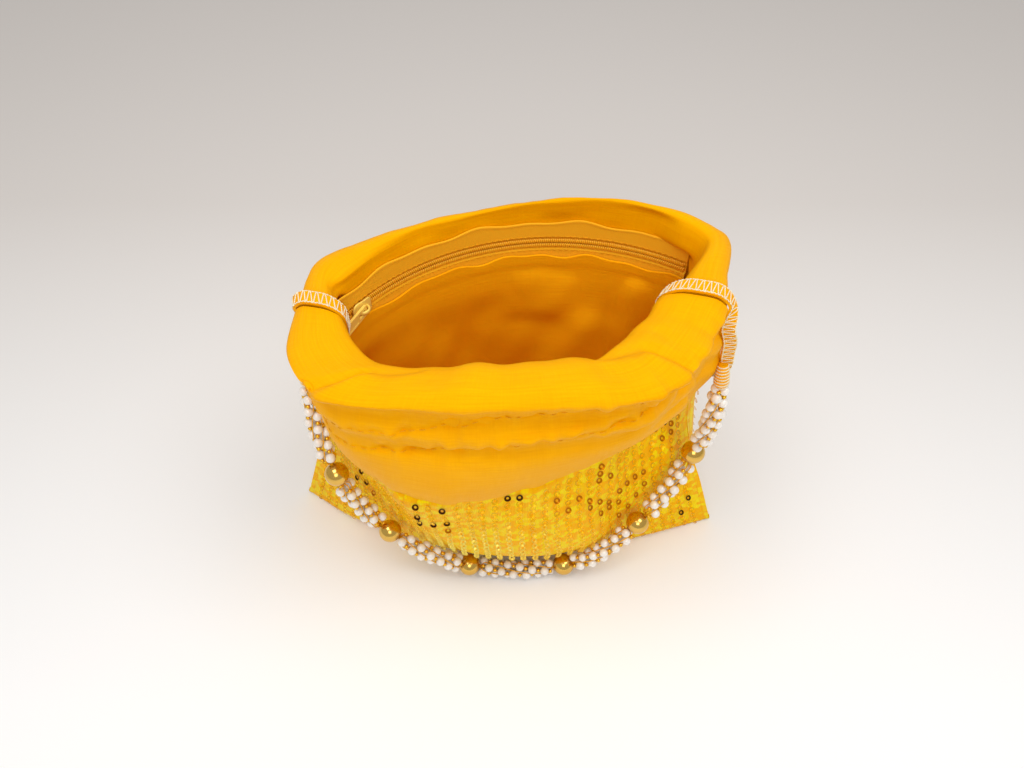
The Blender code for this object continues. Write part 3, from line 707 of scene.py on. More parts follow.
class Tree:
    """A material's or a group's nodes, laid down one by one."""

    def __init__(self, tree: bpy.types.NodeTree) -> None:
        """Starts on a tree."""
        self.tree = tree

    def feed(self, socket: Socket, value: Any) -> None:
        """Links a socket or a node's first output, or sets a plain value.

        Args:
            socket: what takes the value.
            value: a socket, a node or a plain value.
        """
        if isinstance(value, bpy.types.Node):
            value = value.outputs[0]
        if isinstance(value, Socket):
            self.tree.links.new(value, socket)
        else:
            socket.default_value = value

    def add(self, kind: str, inputs: dict[Any, Any] | None = None, **settings: Any) -> bpy.types.Node:
        """A node with its settings and what goes into it.

        Args:
            kind: the node's type.
            inputs: a value for each input, by name or number.
            settings: the node's own settings.

        Returns:
            The node.
        """
        node = self.tree.nodes.new(kind)
        for key, value in settings.items():
            setattr(node, key, value)
        for key, value in (inputs or {}).items():
            self.feed(node.inputs[key], value)
        return node

    def work(self, operation: str, first: Any, second: Any = 0.0) -> Socket:
        """One step of arithmetic."""
        return self.add("ShaderNodeMath", {0: first, 1: second}, operation=operation).outputs[0]

    def times(self, first: Any, second: Any) -> Socket:
        """Two values multiplied."""
        return self.work("MULTIPLY", first, second)

    def plus(self, first: Any, second: Any) -> Socket:
        """Two values added."""
        return self.work("ADD", first, second)

    def folded_sine(self, value: Any) -> Socket:
        """The sine of a value, without its sign."""
        return self.work("ABSOLUTE", self.work("SINE", value))

    def mix(self, share: Any, first: Any, second: Any) -> Socket:
        """One colour laid over another by a share."""
        inputs = {"Factor": share, 6: first, 7: second}
        return self.add("ShaderNodeMix", inputs, data_type="RGBA").outputs[2]

    def span(self, value: Any, low: float, high: float, to_low: float = 0.0, to_high: float = 1.0) -> Socket:
        """A value moved from one range to another and held inside it."""
        inputs = {0: value, 1: low, 2: high, 3: to_low, 4: to_high}
        return self.add("ShaderNodeMapRange", inputs).outputs[0]

    def noise(self, place: Any, scale: Any, detail: float = 2.0) -> Socket:
        """Soft noise of so many cells a metre."""
        inputs = {"Vector": place, "Scale": scale, "Detail": detail}
        return self.add("ShaderNodeTexNoise", inputs).outputs[0]

    def drawn_noise(self, place: Any, scale: tuple[float, float, float]) -> Socket:
        """Noise drawn out by its own number of cells a metre on each axis."""
        return self.noise(self.add("ShaderNodeMapping", {"Vector": place, "Scale": scale}), 1.0)

    def apart(self, place: Any) -> Outputs:
        """The three numbers of a place."""
        return self.add("ShaderNodeSeparateXYZ", {0: place}).outputs


def new_group(name: str, settings: dict[str, float], outputs: Sequence[str]) -> tuple[Tree, Outputs]:
    """An empty node group that takes a place and some numbers.

    Args:
        name: the effect's name.
        settings: its numbers, by name, and what they are unless set.
        outputs: the names of what it puts out.

    Returns:
        The group's tree, and the sockets of its inputs inside it.
    """
    tree = bpy.data.node_groups.new(name, "ShaderNodeTree")
    tree.interface.new_socket("Place", in_out="INPUT", socket_type="NodeSocketVector")
    for label, value in settings.items():
        tree.interface.new_socket(label, in_out="INPUT", socket_type="NodeSocketFloat").default_value = value
    for label in outputs:
        tree.interface.new_socket(label, in_out="OUTPUT", socket_type="NodeSocketFloat")
    made = Tree(tree)
    return made, made.add("NodeGroupInput").outputs


def weave_group() -> bpy.types.NodeTree:
    """Crossing threads and slubs: rectified sines at the thread's pitch, and noise drawn out along them.

    Returns:
        The group, which puts out the slubs' shade and the height of the cloth.
    """
    made, given = new_group("thread weave", {"Threads": 2200.0, "Slub": 0.5}, ("Shade", "Height"))
    x, y, _ = made.apart(given["Place"])
    turns = made.times(given["Threads"], math.pi)
    threads = made.plus(made.folded_sine(made.times(x, turns)), made.folded_sine(made.times(y, turns)))
    flat = made.drawn_noise(given["Place"], (60.0, 1500.0, 1.0))
    upright = made.drawn_noise(given["Place"], (1800.0, 90.0, 1.0))
    shade = made.span(made.plus(made.times(flat, 0.62), made.times(upright, 0.38)), 0.34, 0.66)
    height = made.plus(made.times(threads, 0.25), made.times(shade, given["Slub"]))
    made.add("NodeGroupOutput", {"Shade": shade, "Height": height})
    return made.tree


def wear_group() -> bpy.types.NodeTree:
    """Broad uneven tone and fine specks, from two sizes of noise.

    Returns:
        The group, which puts out the tone and the specks.
    """
    made, given = new_group("handling wear", {"Patches": 60.0}, ("Tone", "Specks"))
    broad = made.noise(given["Place"], given["Patches"], 3.0)
    fine = made.noise(given["Place"], 2600.0, 1.0)
    made.add("NodeGroupOutput", {"Tone": made.span(broad, 0.3, 0.7), "Specks": made.span(fine, 0.62, 0.8)})
    return made.tree


def ply_group() -> bpy.types.NodeTree:
    """The twist of a thread: a rectified sine that winds round it as it runs.

    Returns:
        The group, which puts out the height of the plies.
    """
    made, given = new_group("thread twist", {"Girth": 900.0, "Run": 900.0}, ("Height",))
    x, y, _ = made.apart(given["Place"])
    winding = made.plus(made.times(x, given["Girth"]), made.times(y, given["Run"]))
    made.add("NodeGroupOutput", {"Height": made.folded_sine(made.times(winding, math.pi))})
    return made.tree


@dataclass(frozen=True)
class Groups:
    """The effects that more than one finish uses."""

    weave: bpy.types.NodeTree
    wear: bpy.types.NodeTree
    ply: bpy.types.NodeTree


class Paint(Tree):
    """A material's nodes and its Principled shader, with what most finishes lay on it."""

    def __init__(self, material: Material, groups: Groups) -> None:
        """Starts on a new material's own shader."""
        super().__init__(material.node_tree)
        self.groups = groups
        self.sockets = self.tree.nodes["Principled BSDF"].inputs

    def set(self, **settings: Any) -> None:
        """Plain values on the shader's sockets, which are named with _ for a space."""
        for key, value in settings.items():
            self.sockets[key.replace("_", " ")].default_value = value

    def cloth(self) -> Socket:
        """The place on the flat cloth."""
        return self.add("ShaderNodeUVMap", uv_map="cloth").outputs[0]

    def spot(self) -> Socket:
        """The place on the object."""
        return self.add("ShaderNodeTexCoord").outputs["Object"]

    def group(self, kind: str, **inputs: Any) -> Outputs:
        """What one of the shared groups puts out for this finish's own values."""
        return self.add("ShaderNodeGroup", inputs, node_tree=getattr(self.groups, kind)).outputs

    def wear(self, patches: float) -> Outputs:
        """Tone and specks, in so many patches a metre."""
        return self.group("wear", Place=self.spot(), Patches=patches)

    def color(self, share: Any, first: Any, second: Any) -> None:
        """Feeds the colour: the second laid over the first by a share."""
        self.feed(self.sockets["Base Color"], self.mix(share, first, second))

    def rough(self, value: Any, low: float, high: float) -> None:
        """Feeds the roughness: low where the value is 0, high where it is 1."""
        self.feed(self.sockets["Roughness"], self.span(value, 0.0, 1.0, low, high))

    def bump(self, height: Any, strength: float, deep: float) -> None:
        """Feeds a height to the shader's normal."""
        inputs = {"Height": height, "Strength": strength, "Distance": deep}
        self.feed(self.sockets["Normal"], self.add("ShaderNodeBump", inputs))


@dataclass(frozen=True)
class Finish:
    """One material: a Principled shader whose colour turns to a darker one in places."""

    name: str
    color: Color
    dark: Color
    roughness: float = 0.5

    def lay(self, paint: Paint) -> None:
        """Lays what changes over the surface.

        Args:
            paint: the material's tree, with its shader.
        """
        raise NotImplementedError

    def make(self, groups: Groups) -> Material:
        """The material.

        Args:
            groups: the effects that finishes share.

        Returns:
            The material, with its plain values set and its changing ones laid.
        """
        material = bpy.data.materials.new(self.name)
        material.use_nodes = True
        material.diffuse_color = self.color
        paint = Paint(material, groups)
        paint.set(Base_Color=self.color, Roughness=self.roughness)
        self.lay(paint)
        return material


@dataclass(frozen=True)
class WovenCloth(Finish):
    """Silk or cotton: threads, slubs, a broad tone and sheen."""

    threads: float = 2200.0
    slub: float = 0.6
    contrast: float = 0.4
    sheen: float = 0.3
    deep: float = 0.0003

    def lay(self, paint: Paint) -> None:
        """Darkens the slubs and the broad tone, and raises the threads."""
        paint.set(Sheen_Weight=self.sheen, Sheen_Roughness=0.35, Sheen_Tint=(1.0, 0.66, 0.05, 1.0),
                  Specular_IOR_Level=0.15, Specular_Tint=(1.0, 0.7, 0.12, 1.0))
        weave = paint.group("weave", Place=paint.cloth(), Threads=self.threads, Slub=self.slub)
        share = paint.times(weave["Shade"], self.contrast)
        share = paint.plus(share, paint.times(paint.wear(45.0)["Tone"], 0.18))
        paint.color(share, self.color, self.dark)
        paint.rough(weave["Shade"], self.roughness - 0.07, self.roughness + 0.08)
        paint.bump(weave["Height"], 0.7, self.deep)


@dataclass(frozen=True)
class SequinnedCloth(Finish):
    """The body's sheer cloth over its ground: stitched columns with small woven blocks between them."""

    pale: Color = srgb(255, 232, 0)
    pitch: float = PANEL_SPAN / SEQUIN_COLUMNS * MM
    block: float = 2.6 * MM

    def lay(self, paint: Paint) -> None:
        """Pales some blocks, by a number that is even within each, and darkens the threads."""
        paint.set(Specular_IOR_Level=0.06, Specular_Tint=(1.0, 0.7, 0.05, 1.0))
        place = paint.cloth()
        x, y, _ = paint.apart(place)
        column = paint.work("DIVIDE", x, self.pitch)
        off = paint.work("ABSOLUTE", paint.work("SUBTRACT", paint.work("FRACT", column), 0.5))
        thread = paint.span(off, 0.03, 0.11, 1.0, 0.0)
        uneven = paint.times(paint.noise(place, 420.0, 1.0), 1.6)
        level = paint.plus(paint.work("DIVIDE", y, self.block), uneven)
        cells = paint.add("ShaderNodeCombineXYZ", {
            0: paint.work("FLOOR", paint.plus(paint.times(column, 2.0), uneven)),
            1: paint.work("FLOOR", level),
        })
        block = paint.add("ShaderNodeTexWhiteNoise", {"Vector": cells}).outputs["Value"]
        weave = paint.group("weave", Place=place, Threads=1500.0, Slub=0.3)
        color = paint.mix(paint.span(block, 0.3, 0.75), self.color, self.pale)
        color = paint.mix(paint.times(weave["Shade"], 0.2), color, self.dark)
        color = paint.mix(paint.times(paint.wear(40.0)["Tone"], 0.16), color, self.dark)
        paint.color(paint.times(thread, 0.2), color, self.dark)
        paint.rough(block, 0.5, 0.28)
        height = paint.plus(weave["Height"], paint.times(block, 0.7))
        paint.bump(paint.work("SUBTRACT", height, paint.times(thread, 0.6)), 0.6, 0.0004)


@dataclass(frozen=True)
class SequinFilm(Finish):
    """Cupped film rings, from pale (used for a painted reflection) through gold and copper to maroon by each
    ring's tint.
    """

    gold: tuple[float, Color] = (0.25, srgb(252, 190, 4))
    copper: tuple[float, Color] = (0.6, srgb(186, 100, 4))

    def lay(self, paint: Paint) -> None:
        """Colours each ring by its tint, and lets the gold ones be the clearest."""
        paint.set(Metallic=0.55, Specular_IOR_Level=0.2, Specular_Tint=(1.0, 0.8, 0.2, 1.0))
        tint = paint.add("ShaderNodeAttribute", attribute_name="tint").outputs["Fac"]
        ramp = paint.add("ShaderNodeValToRGB", {0: tint})
        for place, color in (self.gold, self.copper):
            ramp.color_ramp.elements.new(place).color = color
        # the pale first colour is a painted reflection, given to the sequins low in the front's middle
        ramp.color_ramp.elements[0].color = self.color
        ramp.color_ramp.elements[-1].color = self.dark
        paint.feed(paint.sockets["Base Color"], ramp)
        off = paint.work("ABSOLUTE", paint.work("SUBTRACT", tint, 0.24))
        paint.feed(paint.sockets["Alpha"], paint.span(off, 0.02, 0.4, 0.3, 1.0))
        tone = paint.wear(300.0)["Tone"]
        paint.rough(tone, 0.22, 0.4)
        paint.bump(tone, 0.2, 0.0002)


@dataclass(frozen=True)
class Metal(Finish):
    """Polished or plated metal with light scuffs."""

    scuffs: float = 0.12
    metallic: float = 1.0

    def lay(self, paint: Paint) -> None:
        """Dulls patches, and roughens them a little more."""
        paint.set(Metallic=self.metallic)
        wear = paint.wear(220.0)
        paint.color(paint.times(wear["Tone"], 0.3), self.color, self.dark)
        paint.rough(wear["Tone"], self.roughness, self.roughness + self.scuffs)
        paint.bump(wear["Specks"], 0.12, 0.00005)


@dataclass(frozen=True)
class PearlLustre(Finish):
    """Pearls: a milky body under a clear coat, a little rosier in places."""

    def lay(self, paint: Paint) -> None:
        """Lays the rosier tone under the coat."""
        paint.set(Coat_Weight=0.8, Coat_Roughness=0.08, Specular_IOR_Level=0.6)
        tone = paint.wear(160.0)["Tone"]
        paint.color(paint.times(tone, 0.4), self.color, self.dark)
        paint.rough(tone, 0.22, 0.34)
        paint.bump(tone, 0.05, 0.0001)


@dataclass(frozen=True)
class TwistedThread(Finish):
    """Sewing or binding thread, with the twist of its plies."""

    girth: float = 1100.0
    run: float = 1300.0

    def lay(self, paint: Paint) -> None:
        """Paints shade into the grooves between the plies, and lowers them."""
        paint.set(Specular_IOR_Level=0.2)
        ply = paint.group("ply", Place=paint.cloth(), Girth=self.girth, Run=self.run)["Height"]
        tone = paint.wear(150.0)["Tone"]
        # painted shade: the colour turns darker in the low grooves between the plies
        share = paint.plus(paint.span(ply, 0.0, 0.7, 0.6, 0.0), paint.times(tone, 0.2))
        paint.color(share, self.color, self.dark)
        paint.rough(tone, 0.5, 0.7)
        paint.bump(ply, 0.6, 0.0002)


@dataclass(frozen=True)
class TwillTape(Finish):
    """Zip tape: a herringbone twill."""

    ribs: float = 1250.0
    band: float = 1.6 * MM

    def lay(self, paint: Paint) -> None:
        """Lays slanted ribs, a rectified sine that turns back at every band, over a fine weave, and paints
        shade between the ribs.
        """
        paint.set(Sheen_Weight=0.15, Sheen_Roughness=0.4, Sheen_Tint=(1.0, 0.7, 0.1, 1.0),
                  Specular_IOR_Level=0.3, Specular_Tint=(1.0, 0.75, 0.2, 1.0))
        place = paint.cloth()
        x, y, _ = paint.apart(place)
        slant = paint.times(paint.plus(x, paint.work("PINGPONG", y, self.band)), self.ribs * math.pi)
        twill = paint.folded_sine(slant)
        weave = paint.group("weave", Place=place, Threads=2500.0, Slub=0.3)
        # painted shade: the colour turns darker in the low valleys between the twill ribs
        share = paint.plus(paint.span(twill, 0.0, 0.6, 0.45, 0.0), paint.times(weave["Shade"], 0.25))
        paint.color(share, self.color, self.dark)
        paint.rough(weave["Shade"], 0.6, 0.8)
        paint.bump(paint.plus(twill, paint.times(weave["Height"], 0.4)), 0.5, 0.0002)


@dataclass(frozen=True)
class DyedNylon(Finish):
    """The zip's coil: smooth dyed nylon."""

    def lay(self, paint: Paint) -> None:
        """Lays a broad tone and fine specks."""
        paint.set(Specular_IOR_Level=0.5)
        wear = paint.wear(400.0)
        paint.color(paint.times(wear["Tone"], 0.4), self.color, self.dark)
        paint.rough(wear["Tone"], 0.35, 0.5)
        paint.bump(wear["Specks"], 0.1, 0.00005)


@dataclass(frozen=True)
class PaleSheet(Finish):
    """The floor that the bag stands on."""

    def lay(self, paint: Paint) -> None:
        """Paints shade on the sheet: a little greyer to the back, where the lamps' light falls off."""
        paint.set(Specular_IOR_Level=0.1)
        _, back, _ = paint.apart(paint.spot())
        # painted shade: the sheet turns greyer with distance to the back
        paint.color(paint.span(back, -0.1, 0.25), self.color, self.dark)


class Wardrobe:
    """Every finish of the bag, each made once."""

    def __init__(self) -> None:
        """Makes the shared groups and then the materials."""
        groups = Groups(weave_group(), wear_group(), ply_group())
        self.silk = WovenCloth("yellow_silk", srgb(252, 180, 0), srgb(237, 151, 0), 0.5, threads=2400.0,
                               slub=0.35, contrast=0.4, sheen=0.15, deep=0.0002).make(groups)
        self.cotton = WovenCloth("orange_cotton", srgb(255, 184, 12), srgb(252, 162, 6), 0.75,
                                 threads=2000.0, slub=0.4, contrast=0.35, sheen=0.1).make(groups)
        self.sequinned = SequinnedCloth("sequinned_fabric", srgb(255, 188, 0), srgb(240, 148, 0),
                                        0.42).make(groups)
        # the film's pale colour stands in for a painted reflection on some sequins
        self.film = SequinFilm("sequin_film", srgb(255, 240, 120), srgb(62, 20, 8), 0.15).make(groups)
        self.gold = Metal("polished_gold", srgb(226, 184, 92), srgb(196, 150, 60), 0.12).make(groups)
        self.seed = Metal("gold_seed_glass", srgb(248, 196, 62), srgb(226, 168, 40), 0.22).make(groups)
        self.brass = Metal("zip_brass", srgb(255, 226, 110), srgb(236, 198, 80), 0.34,
                           metallic=0.2).make(groups)
        self.pearl = PearlLustre("pearl", srgb(244, 239, 232), srgb(222, 211, 200), 0.22).make(groups)
        self.cream = TwistedThread("cream_thread", srgb(250, 240, 210), srgb(214, 190, 130),
                                   0.6).make(groups)
        self.yellow_thread = TwistedThread("yellow_thread", srgb(250, 186, 20), srgb(214, 136, 6),
                                           0.5).make(groups)
        self.tape = TwillTape("zip_tape", srgb(255, 194, 40), srgb(252, 170, 20), 0.7).make(groups)
        self.nylon = DyedNylon("zip_coil", srgb(255, 192, 38), srgb(254, 174, 22), 0.5).make(groups)
        # the sheet's darker colour is painted shade towards the back
        self.floor = PaleSheet("pale_sheet", srgb(250, 249, 248), srgb(226, 220, 215), 0.9).make(groups)


# The pieces


def sample(grid: Array, rows: Array, columns: Array) -> Array:
    """A grid read between its points: the mean of the four around each place, weighted by nearness.

    Args:
        grid: (rows, columns, numbers).
        rows: where to read, in rows.
        columns: where to read, in columns.

    Returns:
        What the grid has there.
    """
    rows = np.clip(rows, 0, grid.shape[0] - 1.001)
    columns = np.clip(columns, 0, grid.shape[1] - 1.001)
    row, column = rows.astype(int), columns.astype(int)
    a, b = (rows - row)[..., None], (columns - column)[..., None]
    top = grid[row, column] * (1 - b) + grid[row, column + 1] * b
    low = grid[row + 1, column] * (1 - b) + grid[row + 1, column + 1] * b
    return top * (1 - a) + low * a


@dataclass
class Crease:
    """A fold line on a cloth, from one flat place to another, with a fuller lip on one side."""

    start: tuple[float, float]
    end: tuple[float, float]
    depth: float
    width: float
    lip: float = 0.0

    def push(self, places: Array) -> Array:
        """How far the fold moves the cloth: a bell across the line, fading towards both ends.

        Args:
            places: on the flat cloth, (..., 2).

        Returns:
            The push of each, in millimetres.
        """
        start, end = np.array(self.start), np.array(self.end)
        run = end - start
        length = np.linalg.norm(run)
        run = run / length
        arm = places - start
        t = (arm @ run) / length
        off = arm[..., 0] * -run[1] + arm[..., 1] * run[0]
        fade = ease((t + 0.15) / 0.3) * ease((1.15 - t) / 0.3)
        bell = np.exp(-((off / self.width) ** 2))
        side = np.exp(-(((off - 1.6 * self.width) / (1.5 * self.width)) ** 2))
        return fade * (self.lip * side - self.depth * bell)


# The collar's two stitch lines and its creases, by (across, up) on the flat cloth
FRONT_COURSES: tuple[Spots, ...] = (
    ((0, 31), (52, 29.6), (66, 32), (78, 33.5), (94, 35.5), (113, 38), (134, 41), (150, 46), (165, 51),
     (206, 48)),
    ((0, 44), (45, 41), (58, 42.6), (76, 45.5), (88, 48.5), (103, 50.5), (123, 52.5), (146, 54.5), (172, 57),
     (206, 55)),
)
FRONT_CREASES = (
    Crease((46, 75), (36, 55), 1.9, 2.6, 1.3),
    Crease((68, 77), (46, 75), 0.8, 2.6, 0.5),
    Crease((168, 75), (146, 81), 1.5, 2.8, 0.9),
    Crease((174, 60), (168, 75), 2.0, 2.8, 1.0),
    Crease((173, 62), (182, 76), 0.8, 4.0, 0.4),
    Crease((150, 34), (176, 47), 1.2, 2.4, 0.8),
    Crease((160, 28), (184, 36), 0.9, 2.6, 0.6),
)

# The folds of the back lining, by (across, up) on the flat cloth
LINING_CREASES = (
    Crease((64, 78), (70, 134), 2.0, 5.5, 3.0),
    Crease((88, 92), (136, 116), 2.4, 11.0, 1.2),
    Crease((152, 118), (128, 74), 1.0, 9.0, 1.4),
    Crease((52, 70), (40, 126), 1.0, 6.0, 2.0),
)

# By place in the 1024 x 768 picture: where sequins are painted palest, a painted reflection of the lamps,
# and how far around that reaches; and which ones read dark or copper
SEQUIN_PAINTED_GLINT = np.array([460.0, 548.0])
SEQUIN_PAINTED_GLINT_REACH = np.array([120.0, 22.0])
DARK_SEQUINS: Spots = (
    (422, 497), (422, 506), (422, 514), (423, 522), (437, 514), (437, 522), (449, 521), (524, 488),
    (512, 490), (658, 420), (362, 471), (357, 477), (367, 481), (684, 511), (696, 493),
)
COPPER_SEQUINS: Spots = (
    (372, 494), (448, 529), (659, 426), (661, 434), (668, 424), (672, 433), (627, 480), (639, 476),
    (647, 474), (640, 482), (649, 482), (632, 494), (619, 493), (620, 501), (624, 507), (610, 503),
    (612, 508), (615, 515), (596, 514), (594, 508), (602, 504), (590, 500), (598, 466), (601, 473),
    (604, 481), (612, 472), (614, 479), (572, 507), (559, 502), (578, 495),
)


@dataclass
class SequinnedPanel:
    """One panel of the body: the cloth from the bottom seam up to the collar, and its ring sequins."""

    wall: Wall
    wardrobe: Wardrobe
    cloth: float = 1.2
    samples: int = 236
    base_rows: int = 13
    wall_rows: int = 78
    sequin_step: float = 5.5
    sequin_radius: float = 1.32
    lift: float = 0.6
    rise: float = 0.62
    turn_height: float = 4.2
    flatness: float = 0.97
    base_top: float = 4.0
    dark_places: Spots = ()
    copper_places: Spots = ()

    def grid(self) -> tuple[Array, Array]:
        """The cloth's outer side and its flat places.

        The wall's plans carry it up; the base runs flat to the bottom seam; the turn between
        them is rounded by averaging neighbours; the cloth puffs out between sequin columns.

        Returns:
            The points, (rows, columns, 3), and the flat places, (rows, columns, 2).
        """
        cut = SEAM_GAP / PANEL_SPAN
        fractions = np.linspace(cut, 1 - cut, self.samples)
        heights = np.linspace(0, COLLAR_SEAM - 0.15, self.wall_rows)
        grid = self.wall.with_base(self.wall.inset(heights, fractions[None], 0.0), self.base_rows)
        grid[..., 2] = np.maximum(grid[..., 2], self.lift)
        round_turn(grid, self.base_rows, 9, 16)
        places = flat_places(grid, fractions)
        across, height = places[..., 0], grid[..., 2]
        puff = 0.08 * (1 + np.cos(TURN * across * SEQUIN_COLUMNS / PANEL_SPAN))
        gathers = np.exp(-(COLLAR_SEAM - height) / 13) * ripple(across, SEAM_GATHERS)
        tucked = -1.1 * np.exp(-(COLLAR_SEAM - height) / 1.4)
        slack = ripple(across + 0.35 * height, ((31.0, 1.0, 0.5), (17.0, 2.6, 0.25)))
        slack = slack * ease((height - 6) / 25)
        open_ends = ease(np.minimum(across, PANEL_SPAN - across) / 8)
        push = puff + open_ends * (gathers + slack + tucked)
        grid = grid + outward_normals(grid, upper=True) * push[..., None]
        grid[..., 2] = np.maximum(grid[..., 2], self.lift)
        return grid, places

    def rings(self, grid: Array, places: Array) -> tuple[Array, Array]:
        """Where the sequins sit and which way each faces.

        They follow stitched columns an even step apart. On the wall each is tipped up by
        adding an upward share to the cloth's normal; on the base they lie flat; and in the
        tight turn between the two there are none.

        Args:
            grid: the cloth's outer side.
            places: its flat places.

        Returns:
            The centres and the axes, (sequins, 3).
        """
        normals = outward_normals(grid, upper=True)
        up = places[:, 0, 1]
        rows = np.interp(np.arange(3.0, up[-1] - 1.2, self.sequin_step), up, np.arange(len(up)))
        columns = (np.arange(SEQUIN_COLUMNS) + 0.5) / SEQUIN_COLUMNS * (self.samples - 1)
        skip = 1 if self.wall.front else 2
        rows, columns = np.meshgrid(rows, columns[skip:-skip], indexing="ij")
        rng = np.random.default_rng(11 if self.wall.front else 12)
        columns = columns + rng.normal(0, 0.12, columns.shape)
        rows = rows + rng.normal(0, 0.12, rows.shape)
        spots, out = sample(grid, rows, columns), unit(sample(normals, rows, columns))
        wall = ease((spots[..., 2] - 4) / 10)[..., None]
        axes = unit(out + wall * self.rise * np.array([0.0, 0.0, 1.0]) + rng.normal(0, 0.09, spots.shape))
        lean = np.sqrt(np.clip(1 - ((axes * out).sum(-1, keepdims=True)) ** 2, 0, 1))
        kept = (spots[..., 2] > self.turn_height) | (out[..., 2] < -self.flatness)
        return (spots + out * (0.3 + 0.9 * lean))[kept], axes[kept]

    def tints(self, centres: Array, axes: Array) -> Array:
        """Each sequin's tint: clear gold, painted paler low in the middle as a painted reflection of the
        lamps, and a few that read dark or copper.

        Those few are, of the sequins that the camera can see, the nearest to the places given.

        Args:
            centres: the sequins' centres.
            axes: the way each faces.

        Returns:
            One tint for each sequin, from 0 for pale to 1 for dark.
        """
        rng = np.random.default_rng(5)
        tint = np.clip(rng.normal(0.26, 0.03, len(centres)), 0.21, 0.36)
        if not self.wall.front:
            tint[rng.random(len(centres)) < 0.03] = 0.6
            return tint
        seen = to_picture(centres)
        hidden = ((CAMERA_PLACE - centres) * axes).sum(1) < 60
        seen[hidden | (centres[:, 2] < self.base_top)] = -1000
        # painted reflection: sequins near that place in the picture are turned pale
        middle = np.exp(-(((seen - SEQUIN_PAINTED_GLINT) / SEQUIN_PAINTED_GLINT_REACH) ** 2).sum(1))
        tint = tint * (1 - 0.9 * middle)
        for spots, value in ((self.copper_places, 0.58), (self.dark_places, 1.0)):
            if spots:
                gap = np.linalg.norm(seen[None] - np.array(spots)[:, None], axis=2)
                tint[gap.argmin(1)] = value
        return tint

    def build(self) -> Piece:
        """The cloth and, as its own piece, the sequins that ride with it.

        Returns:
            The cloth.
        """
        name = self.wall.side.value
        grid, places = self.grid()
        back = grid - outward_normals(grid, upper=True) * self.cloth
        back[..., 2] = np.maximum(back[..., 2], self.lift + 0.5)
        cloth = shell(grid, back, places)
        panel = make_object(f"sequinned_cloth_{name}", [cloth], [self.wardrobe.sequinned])
        centres, axes = self.rings(grid, places)
        centres[:, 2] = np.maximum(centres[:, 2], 0.45)
        size = self.sequin_radius
        profile = np.array([(size, 0.34), (0.43 * size, 0.04), (0.43 * size, -0.06), (size, 0.22)])
        rings = turned(profile, centres, axes, 12, True, tint=self.tints(centres, axes))
        sequins = make_object(f"ring_sequins_{name}", [rings], [self.wardrobe.film])
        for piece in (panel, sequins):
            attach(piece, "bag")
        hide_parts(f"body_{name}_panel")
        return panel


